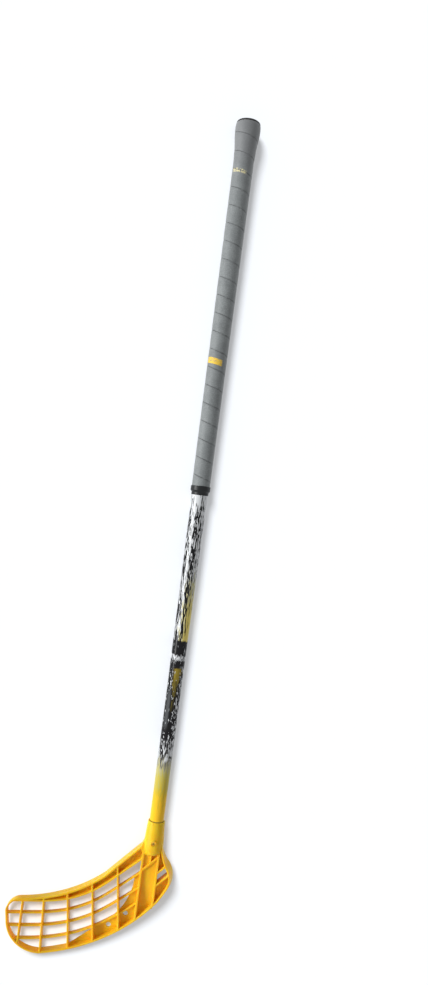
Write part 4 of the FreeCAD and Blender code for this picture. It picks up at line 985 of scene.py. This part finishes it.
def bar_points(path, across, low, high, faces, rounding, lean=0.0):
    """Sections of a bar with rounded edges, carried along a path in the blade's plane.

    A section reaches from the offset `low` to the offset `high` along `across`, and between two surfaces, the
    back(x, y) and front(x, y) of `faces`. Its corners are quarter circles. `lean` moves the low side inwards
    at the front."""
    back, front = faces
    quarter = np.linspace(0, np.pi / 2, 5)
    sine, cosine = 1 - np.sin(quarter), 1 - np.cos(quarter)
    from_side = np.concatenate([sine, cosine, sine, cosine]) * rounding
    from_surface = np.concatenate([cosine, sine, cosine, sine]) * rounding
    at_low = np.repeat([True, True, False, False], len(quarter))
    at_front = np.repeat([False, True, True, False], len(quarter))
    low, high, lean = (np.reshape(np.broadcast_to(value, len(path)), (-1, 1)) for value in (low, high, lean))
    offset = np.where(at_low, low + lean * at_front + from_side, high - from_side)
    spot = path[:, None] + across[:, None] * offset[..., None]
    x, y = spot[..., 0], spot[..., 1]
    level = np.where(at_front, front(x, y) - from_surface, back(x, y) + from_surface)
    return np.concatenate([spot, level[..., None]], axis=-1)


class BladePlan:
    """Places of all parts of the blade, in metres of the stick's frame."""

    def __init__(self, look):
        self.look = look
        self.outline, self.inward = even_outline(OUTLINE_POINTS)
        x, y = self.outline.T
        self.lean = look.heel_lean * smooth_step(x, HEEL_LEAN_START * MM, HEEL_LEAN_FULL * MM)
        nape = np.exp(-((y - NAPE_MIDDLE * MM) / (NAPE_SPREAD * MM)) ** 2)
        self.lean += look.nape_lean * (x > NAPE_SIDE * MM) * nape
        self.rim_middle = self.outline + self.inward * (self.lean + look.rim_width / 2)[:, None]
        start, end = np.array(BLADE_OUTLINE[SOLE_END - 1:SOLE_END + 1]) * MM
        chord = end[:2] - start[:2]
        self.sole_radius = end[2]
        drop = np.sqrt(self.sole_radius ** 2 - np.dot(chord, chord) / 4)
        self.sole_centre = (start[:2] + end[:2]) / 2 + left_of(chord[None])[0] * drop
        self.rim_faces = self.outer_faces(0)
        self.rib_faces = self.outer_faces(look.rib_sink)
        self.slat_faces = self.inner_faces(0, look.slat_half_depth)
        self.web_faces = self.inner_faces(look.web_drop, look.web_half_depth)

    def outer_faces(self, sink):
        """Back and hollow face of the blade, sunk by a little, with a smooth drop where they run up into the
        socket."""
        def shoulder(y):
            return SHOULDER_DROP * MM * smooth_step(y, SHOULDER_LOW * MM, SHOULDER_HIGH * MM)

        def back(x, y):
            return hook(x, self.look.back_radius) - self.look.half_depth + shoulder(y) + sink

        def front(x, y):
            return self.look.half_depth + hook(x, self.look.front_radius) - shoulder(y) - sink

        return back, front

    def inner_faces(self, drop, half_depth):
        """Back and front of a layer that follows the blade's middle surface at a drop behind it."""
        def back(x, y):
            return hook(x, self.look.middle_radius) - drop - half_depth

        def front(x, y):
            return hook(x, self.look.middle_radius) - drop + half_depth

        return back, front

    def core_back(self, x, y):
        return np.interp(y, np.array([CORE_LOW, CORE_HIGH]) * MM, np.array(CORE_BACK) * MM)

    def core_front(self, x, y):
        """Gentle slope down from the socket, then a steeper one back to the web."""
        return np.interp(y, np.array([CORE_LOW, CORE_BEND, CORE_HIGH]) * MM, np.array(CORE_FRONT) * MM)

    def pocket_front(self, x, y):
        return np.where(x < STAY * MM, SHALLOW_POCKET * MM, DEEP_POCKET * MM)

    def sole(self, x):
        """Height of the curved sole."""
        return self.sole_centre[1] - np.sqrt(self.sole_radius ** 2 - (x - self.sole_centre[0]) ** 2)

    def slat_height(self, x, share):
        """Height at a share of the way from the top slat to the sole. The top slat is straight near the
        socket and eases out to level as a power curve with the same slope."""
        bend, level = np.array(TOP_BEND) * MM, np.array(TOP_LEVEL) * MM
        run, drop = bend - level
        eased = level[1] + drop * np.maximum(0, (x - level[0]) / run) ** (TOP_SLOPE * run / drop)
        top = np.where(x >= bend[0], bend[1] + TOP_SLOPE * (x - bend[0]), eased)
        return top + share * (self.sole(x) - top)

    def bar(self, name, path, width, faces):
        """Bar along the part of a path that lies inside the rim's middle line."""
        path = path[within(self.rim_middle, path)]
        across = left_of(np.gradient(path, axis=0))
        points = bar_points(path, across, -width / 2, width / 2, faces, self.look.rounding)
        return swept_mesh(name, points, False)

    def straight(self, name, start, end, width):
        path = np.linspace(start, end, BAR_POINTS) * MM
        return self.bar(name, path, width, self.rib_faces)

    def patch(self, name, lower, upper, faces):
        """Plate between two lines with the same number of points, where they are far enough apart."""
        least_reach, edge_rounding = 0.4 * MM, 0.1 * MM
        reach = np.linalg.norm(upper - lower, axis=1)
        wide = reach > least_reach
        lower, upper, reach = lower[wide], upper[wide], reach[wide]
        points = bar_points(lower, (upper - lower) / reach[:, None], 0, reach, faces, edge_rounding)
        return swept_mesh(name, points, False)

    def frame_meshes(self):
        """Rim, upright ribs, strong ribs, brace, short rib, heel slats, top slat and gusset, as deep as the
        blade."""
        look = self.look
        rim = bar_points(self.outline, self.inward, 0, look.rim_width + self.lean, self.rim_faces,
                         look.rounding, self.lean)
        bars = []
        for index, (place, lean) in enumerate(BLADE_RIBS):
            reach = RIB_REACH * np.array([-np.sin(np.radians(lean)), np.cos(np.radians(lean))])
            middle = np.array([place, RIB_LEVEL])
            bars.append((f"rib_{index}", middle - reach, middle + reach, look.rib_width))
        for name, place in (("spar", SPAR), ("strut", STRUT)):
            bars.append((name, (place, SPAR_LOW), (place, SPAR_HIGH), look.strong_width))
        bars.append(("brace", (SPAR, BRACE_LOW), (STRUT, BRACE_HIGH), look.strong_width))
        bars.append(("stay", (STAY, STAY_LOW), (STAY, STAY_HIGH), look.rib_width))
        for index, height in enumerate(HEEL_SLATS):
            end = (STRUT + HEEL_REACH, height + HEEL_REACH)
            bars.append((f"heel_slat_{index}", (STRUT, height), end, look.rib_width))
        top_slat = self.bar("top_slat", self.slat_line(0), look.rib_width, self.rib_faces)
        count = 19
        share, corners = np.linspace(0, len(GUSSET_FLANK) - 1, count), range(len(GUSSET_FLANK))
        left = points_of(*(np.interp(share, corners, line) for line in np.array(GUSSET_FLANK).T * MM))
        right = points_of(GUSSET_EDGE * MM, np.linspace(GUSSET_LOW, GUSSET_HIGH, count) * MM)
        gusset = self.patch("gusset", right, left, self.rib_faces)
        return [swept_mesh("rim", rim, True), *(self.straight(*bar) for bar in bars), top_slat, gusset]

    def slat_line(self, share):
        x = np.linspace(TOE * MM, SPAR * MM, SLAT_POINTS)
        return points_of(x, self.slat_height(x, share))

    def slat_meshes(self):
        """The slats of the open lattice, evenly spread between the top slat and the sole."""
        lines = [self.slat_line(share) for share in self.look.slat_spacing * np.arange(1, 4)]
        return [self.bar(f"slat_{index}", line, self.look.rib_width, self.slat_faces)
                for index, line in enumerate(lines)]

    def web_meshes(self):
        """Closed webs: under the top rim, at the lower heel side, under the socket, and beside the strut.
        Then the floor of the pockets under the socket, and the sloped core."""
        x = np.linspace(SPAR, STRUT, 30)
        above_sole = self.sole(x * MM) + self.look.rim_width / 2
        middle_web = ("middle_web", points_of(x * MM, above_sole), points_of(x * MM, MIDDLE_WEB_TOP * MM))
        webs = [self.upper_web(), self.lower_web(), middle_web, *self.heel_webs()]
        meshes = [self.patch(*web, self.web_faces) for web in webs]
        brace = points_of(x, np.linspace(BRACE_LOW, BRACE_HIGH, 30)) * MM
        pocket_top = points_of(x, POCKET_TOP) * MM
        meshes.append(self.patch("pocket_floor", brace, pocket_top, (self.web_faces[0], self.pocket_front)))
        right = points_of(STRUT, np.linspace(CORE_LOW, BRACE_HIGH, 40)) * MM
        left = points_of(SPAR, np.linspace(CORE_LOW, BRACE_LOW, 40)) * MM
        return meshes + [self.patch("core", right, left, (self.core_back, self.core_front))]

    def upper_web(self):
        """Web between the top slat and the top rim."""
        x, y = self.rim_middle.T
        rim_line = self.rim_middle[(x < TOP_RIM_END * MM) & (y > TOP_RIM_FOOT * MM)]
        rim_line = rim_line[np.argsort(rim_line[:, 0])]
        x = np.linspace(UPPER_WEB_START, SPAR, 120) * MM
        slat, rim = self.slat_height(x, 0), np.interp(x, *rim_line.T)
        clear = rim > slat + LEAST_WEB * MM
        return "upper_web", points_of(x, slat)[clear], points_of(x, rim)[clear]

    def lower_web(self):
        """Web between the sole and an edge that runs straight, round and straight again to the spar."""
        corners = np.array(WEB_EDGE) * MM
        edge = np.concatenate([run_points(*corners[:2], 0, 40),
                               run_points(*corners[1:3], WEB_RADIUS * MM, 60),
                               run_points(*corners[2:], 0, 20), corners[3:]])
        return "lower_web", points_of(edge[:, 0], self.sole(edge[:, 0]) + self.look.rim_width / 2), edge

    def heel_webs(self):
        """Webs above the upper heel slat and under the lower one, out to the rim."""
        x, y = self.rim_middle.T
        heel_edge = self.rim_middle[(x > HEEL_RIM_START * MM) & (y < HEEL_RIM_TOP * MM)]
        crest = np.argmax(heel_edge[:, 0])
        x = np.linspace(STRUT * MM, HEEL_WEB_END * MM, 60)
        low, high = np.interp(x, *heel_edge[:crest].T), np.interp(x, *heel_edge[crest:][::-1].T)
        upper_slat, lower_slat = ((x / MM - STRUT + height) * MM for height in HEEL_SLATS)
        above, under = high > upper_slat + LEAST_WEB * MM, lower_slat > low + LEAST_WEB * MM
        low_top = points_of(x, np.minimum(lower_slat, high))
        return [("heel_web_high", points_of(x, upper_slat)[above], points_of(x, high)[above]),
                ("heel_web_low", points_of(x, low)[under], low_top[under])]

    def about(self, centre, side=1):
        """Placing of points turned about a line through the blade, at a centre in its plane. Heights run
        towards the hollow face, or away from it where the side is -1."""
        x, y = centre[0] * MM, centre[1] * MM

        def place(radius, height, angle):
            return points_of(x + radius * np.cos(angle), side * radius * np.sin(angle) + y, side * height)
        return place

    def socket_meshes(self):
        """Socket turned about the shaft line, and the two screw bosses, which widen where they meet it."""
        radius, height = SOCKET_MOUTH[-1]
        cone = [(radius + SOCKET_WIDENING * share, height - SOCKET_CONE * share)
                for share in np.linspace(1 / SOCKET_ROWS, 1, SOCKET_ROWS)]
        socket = np.array([*SOCKET_MOUTH, *cone, *SOCKET_END][::-1]) * MM
        boss = np.array(BOSS) * MM
        return [turned_mesh("socket", socket, ROUND_SECTORS),
                *(turned_mesh("boss", boss, BOSS_SECTORS, self.about((0, -depth), side))
                  for depth, side in SCREWS)]

    def cutter_meshes(self):
        """Bore with a lead-in at its mouth, the vents, and the seats and holes of the screws."""
        bore, vent, seat = (np.array(profile) * MM for profile in (BORE, VENT, SEAT))
        return [turned_mesh("bore", bore, ROUND_SECTORS),
                *(turned_mesh("vent", vent, HOLE_SECTORS, self.about(place)) for place in VENT_PLACES),
                *(turned_mesh("seat", seat, HOLE_SECTORS, self.about((0, -depth), side))
                  for depth, side in SCREWS)]


class STICK_OT_screws(bpy.types.Operator):
    """Finishes the two blade screws"""

    bl_idname = "stick.screws"
    bl_label = "Screws"

    def execute(self, context):
        steel = screw_finish(context.scene.stick_screw)
        for name in ("blade_screw_front", "blade_screw_rear"):
            frame["nodes"][name].material_slots[0].material = steel
        return {"FINISHED"}


# Half the floor's side in metres, and its colour for soft light and where it is seen.
FLOOR_HALF, FLOOR_PLAIN, FLOOR_SEEN = 6.0, (0.6, 0.6, 0.6), (0.57, 0.595, 0.63)
BLACK, WHITE = (0.0, 0.0, 0.0), (1.0, 1.0, 1.0)


def white_for_view(nodes, plain, view):
    """Colour that is `view` where the camera, a reflection or a clear body sees it, else `plain`."""
    path = nodes.add("ShaderNodeLightPath").outputs
    seen = nodes.math("MAXIMUM", path["Is Camera Ray"], path["Is Glossy Ray"])
    return nodes.mix(nodes.math("MAXIMUM", seen, path["Is Transmission Ray"]), plain, view)


class STICK_OT_stage(bpy.types.Operator):
    """Sets the white floor, the light and the camera"""

    bl_idname = "stick.stage"
    bl_label = "Stage"

    def execute(self, context):
        scene, look = context.scene, context.scene.stick_stage
        right = np.cos(look.tilt) * SIDE + np.sin(look.tilt) * ALONG
        up = np.cos(look.tilt) * ALONG - np.sin(look.tilt) * SIDE
        floor = self.add_floor(scene, look)
        self.add_light(scene, look, right, up, floor)
        self.add_camera(scene, look, right, up)
        scene.view_settings.view_transform = "Standard"
        return {"FINISHED"}

    def add_floor(self, scene, look):
        """Square floor whose glow is seen, but doesn't light the stick."""
        corners = FLOOR_HALF * np.array([(-1, -1, 0), (1, -1, 0), (1, 1, 0), (-1, 1, 0)])
        mesh = bpy.data.meshes.new("floor")
        mesh.from_pydata(corners, [], [(0, 1, 2, 3)])
        floor = bpy.data.objects.new("floor", mesh)
        scene.collection.objects.link(floor)
        material = bpy.data.materials.new("floor_white")
        material.use_nodes = True
        nodes, links = Nodes(material.node_tree), material.node_tree.links
        inputs = material.node_tree.nodes["Principled BSDF"].inputs
        inputs["Roughness"].default_value = 0.9
        inputs["Specular IOR Level"].default_value = 0.0
        inputs["Emission Strength"].default_value = 1.0
        glow = (look.floor_glow, look.floor_glow, look.floor_glow)
        links.new(white_for_view(nodes, FLOOR_PLAIN, FLOOR_SEEN), inputs["Base Color"])
        links.new(white_for_view(nodes, BLACK, glow), inputs["Emission Color"])
        mesh.materials.append(material)
        return floor

    def add_light(self, scene, look, right, up, floor):
        """One sun for the stick and another for the floor, so that the shadow lies where the photo has it,
        and a soft light from all round."""
        for name, strength, span, way, link in (
                ("key", look.key_strength, look.key_size, look.key_way, "EXCLUDE"),
                ("floor_light", look.floor_strength, look.floor_size, look.floor_way, "INCLUDE")):
            sun = bpy.data.lights.new(name, "SUN")
            sun.energy, sun.angle = strength, span
            lamp = bpy.data.objects.new(name, sun)
            lamp.rotation_mode = "QUATERNION"
            towards = Vector(way[0] * right + way[1] * up + way[2] * FACE)
            lamp.rotation_quaternion = towards.to_track_quat("Z", "Y")
            scene.collection.objects.link(lamp)
            receivers = bpy.data.collections.new(name + "_receivers")
            receivers.objects.link(floor)
            receivers.collection_objects[0].light_linking.link_state = link
            lamp.light_linking.receiver_collection = receivers
        world = bpy.data.worlds.new("white_room")
        world.use_nodes = True
        grey = (look.ambient, look.ambient, look.ambient)
        sky = world.node_tree.nodes["Background"].inputs["Color"]
        world.node_tree.links.new(white_for_view(Nodes(world.node_tree), grey, WHITE), sky)
        scene.world = world

    def add_camera(self, scene, look, right, up):
        """Camera square to the blade's face, with the picture's height at the shaft line set by the lens."""
        data = bpy.data.cameras.new("camera")
        data.lens = data.sensor_width * look.distance / look.view_height
        data.clip_end = 20.0
        camera = bpy.data.objects.new("camera", data)
        centre = MOUTH + look.centre_side * SIDE + look.centre_along * ALONG + look.distance * FACE
        turn = Matrix(np.array([right, up, FACE]).T.tolist()).to_4x4()
        camera.matrix_world = Matrix.Translation(centre) @ turn
        scene.collection.objects.link(camera)
        scene.camera = camera


class STICK_PT_panel(bpy.types.Panel):
    """Lists the pieces of the stick"""

    bl_label = "Floorball Stick"
    bl_idname = "STICK_PT_panel"
    bl_space_type = "VIEW_3D"
    bl_region_type = "UI"
    bl_category = "Stick"

    def draw(self, context):
        for operator in OPERATORS:
            self.layout.operator(operator.bl_idname)


OPERATORS = (STICK_OT_shaft, STICK_OT_grip, STICK_OT_band, STICK_OT_knob, STICK_OT_blade, STICK_OT_screws,
             STICK_OT_stage)
LOOKS = {"stick_shaft": ShaftLook, "stick_grip": GripLook, "stick_band": BandLook, "stick_knob": KnobLook,
         "stick_blade": BladeLook, "stick_screw": ScrewLook, "stick_stage": StageLook}


def register():
    for kind in (*LOOKS.values(), *OPERATORS, STICK_PT_panel):
        bpy.utils.register_class(kind)
    for name, kind in LOOKS.items():
        setattr(bpy.types.Scene, name, PointerProperty(type=kind))


def unregister():
    for name in LOOKS:
        delattr(bpy.types.Scene, name)
    for kind in reversed((*LOOKS.values(), *OPERATORS, STICK_PT_panel)):
        bpy.utils.unregister_class(kind)


def main():
    register()
    bpy.ops.stick.shaft()
    bpy.ops.stick.grip()
    bpy.ops.stick.band()
    bpy.ops.stick.knob()
    bpy.ops.stick.blade()
    bpy.ops.stick.screws()
    bpy.ops.stick.stage()


if __name__ == "__main__":
    main()
